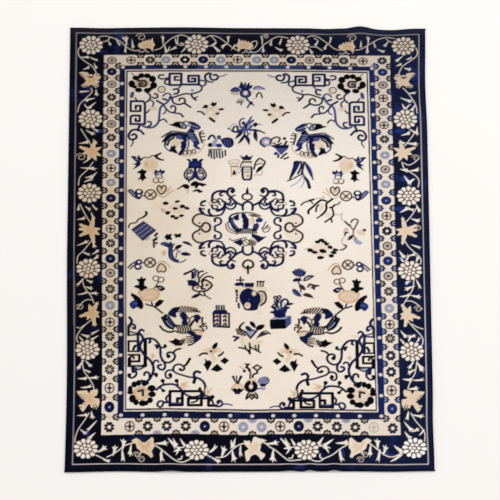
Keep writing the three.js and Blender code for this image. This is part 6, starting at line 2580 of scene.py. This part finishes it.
def wool(name, dye=None, rows=1.0, fibre=0.5, relief=0.0004, patches=1.0, streaks=1.0, mellow_and_shade=1.0,
         sheen_amount=1.0, dulled=None):
    """A wool surface. Its dye is the knots' own colour, or one colour for a plain yarn."""
    material = bpy.data.materials.new(name)
    material.use_nodes = True
    graph = Graph(material.node_tree)
    surface = material.node_tree.nodes["Principled BSDF"]
    place = graph.node("ShaderNodeTexCoord").outputs["Object"]
    indigo = 1.0
    if dye is None:
        knot = graph.node("ShaderNodeAttribute", attribute_name="dye").outputs
        dye, indigo = knot["Color"], knot["Alpha"]
    if dulled is not None:
        dye = graph.mix(BACK_DULLNESS, dye, dulled)
    dyed = graph.group(abrash, Dye=dye, Indigo=indigo, Place=place, Patches=patches, Streaks=streaks)
    # mellowing and soil, with painted shade on the pale wool and a painted sheen on the dark
    aged = graph.group(
        age_and_light, Colour=dyed.outputs["Colour"], Place=place, Darkness=dyed.outputs["Darkness"],
        Mellow=mellow_and_shade, Fading=sheen_amount,
    )
    knotted = graph.group(knot_relief, Place=place, Rows=rows, Fibre=fibre)
    fleck = graph.stretch(knotted.outputs["Fleck"], 0.2, 0.8, 0.92, 1.08)
    shade = graph.node("ShaderNodeVectorMath", operation="SCALE")
    graph.give(shade.inputs[0], aged.outputs["Colour"])
    graph.give(shade.inputs["Scale"], fleck)
    graph.give(surface.inputs["Base Color"], shade.outputs[0])
    rough = graph.stretch(aged.outputs["Wear"], 0.0, 1.0, 0.96, 0.82)
    graph.give(surface.inputs["Roughness"], rough)
    surface.inputs["Specular IOR Level"].default_value = 0.02
    bump = graph.node("ShaderNodeBump")
    bump.inputs["Strength"].default_value = 0.6
    bump.inputs["Distance"].default_value = relief
    graph.give(bump.inputs["Height"], knotted.outputs["Height"])
    graph.give(surface.inputs["Normal"], bump.outputs["Normal"])
    return material


# each wool takes a share of the mellowing, soil and painted shade, and a share of the painted sheen
pile_wool = wool("knotted wool pile")
back_wool = wool(
    "knot backs and cotton warps", rows=1.4, fibre=0.25, relief=0.0006, patches=0.4, mellow_and_shade=0.5,
    dulled=screen(196, 180, 158),
)
edge_wool = wool(
    "overcast edge wool", dye=screen(15, 17, 32), rows=0.0, fibre=1.0, relief=0.0003, patches=0.35,
    streaks=0.6, mellow_and_shade=0.0, sheen_amount=0.3,
)
for piece in panels:
    piece.data.materials.append(pile_wool)
foundation.data.materials.append(back_wool)
print("materials", pile_wool.name, back_wool.name, edge_wool.name)

# %% The four bound edges
EDGE_STEP = 0.004
END_INSET = 0.002
inset = BINDING_WIDTH / 2
side_y = np.arange(BINDING_WIDTH - LENGTH / 2, LENGTH / 2 - BINDING_WIDTH + EDGE_STEP, EDGE_STEP)
end_x = np.arange(END_INSET - WIDTH / 2, WIDTH / 2 - END_INSET + EDGE_STEP, EDGE_STEP)
edges = []
for number, (name, xs, ys) in enumerate((
    ("edge_left", np.full_like(side_y, inset - WIDTH / 2), side_y),
    ("edge_right", np.full_like(side_y, WIDTH / 2 - inset), side_y),
    ("edge_near", end_x, np.full_like(end_x, inset - LENGTH / 2)),
    ("edge_far", end_x, np.full_like(end_x, LENGTH / 2 - inset)),
)):
    edge = wrapped(edge_line(name, xs, ys), overcast, edge_wool, 11 + number)
    edges.append(edge)
    print(name, len(edge.data.polygons), "faces")

# %% [markdown]
# ## Floor, light and camera
# The photograph is a studio cut-out: an even pale ground, light from all round and hardly a shadow.
# A dome of white light does that. One large soft lamp from the far right gives the pile a grain and
# the lifted ends a faint edge. The dome and the lamp together light the floor to the picture's ground.

# %% Floor and lamps
FLOOR_HALF = 14.0
FLOOR_DROP = 0.0004
DOME_STRENGTH = 0.83
LAMP_PLACE = (4.0, 5.0, 9.0)
LAMP_SIZE = 5.0
LAMP_WATTS = 300.0


def plane(name, half, height):
    mesh = bpy.data.meshes.new(name)
    corners = [(-half, -half, height), (half, -half, height), (half, half, height), (-half, half, height)]
    mesh.from_pydata(corners, [], [(0, 1, 2, 3)])
    made = bpy.data.objects.new(name, mesh)
    bpy.context.scene.collection.objects.link(made)
    return made


floor = plane("floor", FLOOR_HALF, -FLOOR_DROP)
paper = bpy.data.materials.new("pale paper")
paper.use_nodes = True
paper_graph = Graph(paper.node_tree)
paper_place = paper_graph.node("ShaderNodeTexCoord").outputs["Object"]
paper_cloud = paper_graph.noise(paper_place, 0.6)
paper_tone = paper_graph.mix(paper_cloud, screen(249, 245, 242), screen(250, 246, 243))
paper_surface = paper.node_tree.nodes["Principled BSDF"]
paper_graph.give(paper_surface.inputs["Base Color"], paper_tone)
paper_surface.inputs["Roughness"].default_value = 1.0
paper_surface.inputs["Specular IOR Level"].default_value = 0.0
floor.data.materials.append(paper)

world = bpy.data.worlds.new("studio dome")
world.use_nodes = True
dome = world.node_tree.nodes["Background"]
dome.inputs["Color"].default_value = (1.0, 1.0, 1.0, 1.0)
dome.inputs["Strength"].default_value = DOME_STRENGTH
bpy.context.scene.world = world

lamp_data = bpy.data.lights.new("soft lamp", "AREA")
lamp_data.shape = "DISK"
lamp_data.size = LAMP_SIZE
lamp_data.energy = LAMP_WATTS
lamp = bpy.data.objects.new("soft lamp", lamp_data)
lamp.location = LAMP_PLACE
aim = -np.array(LAMP_PLACE)
lamp.rotation_euler = (
    math.atan2(math.hypot(aim[0], aim[1]), -aim[2]), 0.0, math.atan2(aim[1], aim[0]) - math.pi / 2
)
bpy.context.scene.collection.objects.link(lamp)
print("floor, dome and", lamp.name, "at", LAMP_PLACE)

# %% Camera
camera_data = bpy.data.cameras.new("camera")
camera_data.sensor_width = SENSOR
camera_data.lens = PIXELS_PER_SLOPE / PHOTO_SIDE * SENSOR
camera_data.clip_start = 1.0
camera_data.clip_end = 200.0
camera_data.dof.use_dof = False
camera = bpy.data.objects.new("camera", camera_data)
right, up = eye_axes()
turn = np.stack([right, up, BACK], 1)
matrix = np.eye(4)
matrix[:3, :3] = turn
matrix[:3, 3] = EYE - np.array([MIDDLE[0], MIDDLE[1], 0.0])
camera.matrix_world = Matrix(matrix.tolist())
bpy.context.scene.collection.objects.link(camera)
bpy.context.scene.camera = camera
bpy.context.scene.view_settings.view_transform = "Standard"
print("lens", round(camera_data.lens, 1), "mm from", [round(v, 2) for v in camera.location])

# %% [markdown]
# ## The pieces and their body
# Every piece rides on the one body, because a rug has no joints. The foundation stands for the CAD
# model's fabric, with the pile and the edges as the pieces on it.

# %% Pieces on the body
for piece in [foundation, *panels]:
    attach(piece, "root")
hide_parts("knotted_fabric")
for edge, node in zip(edges, ("bound_side_left", "bound_side_right", "bound_end_near", "bound_end_far")):
    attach(edge, "root")
    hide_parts(node)
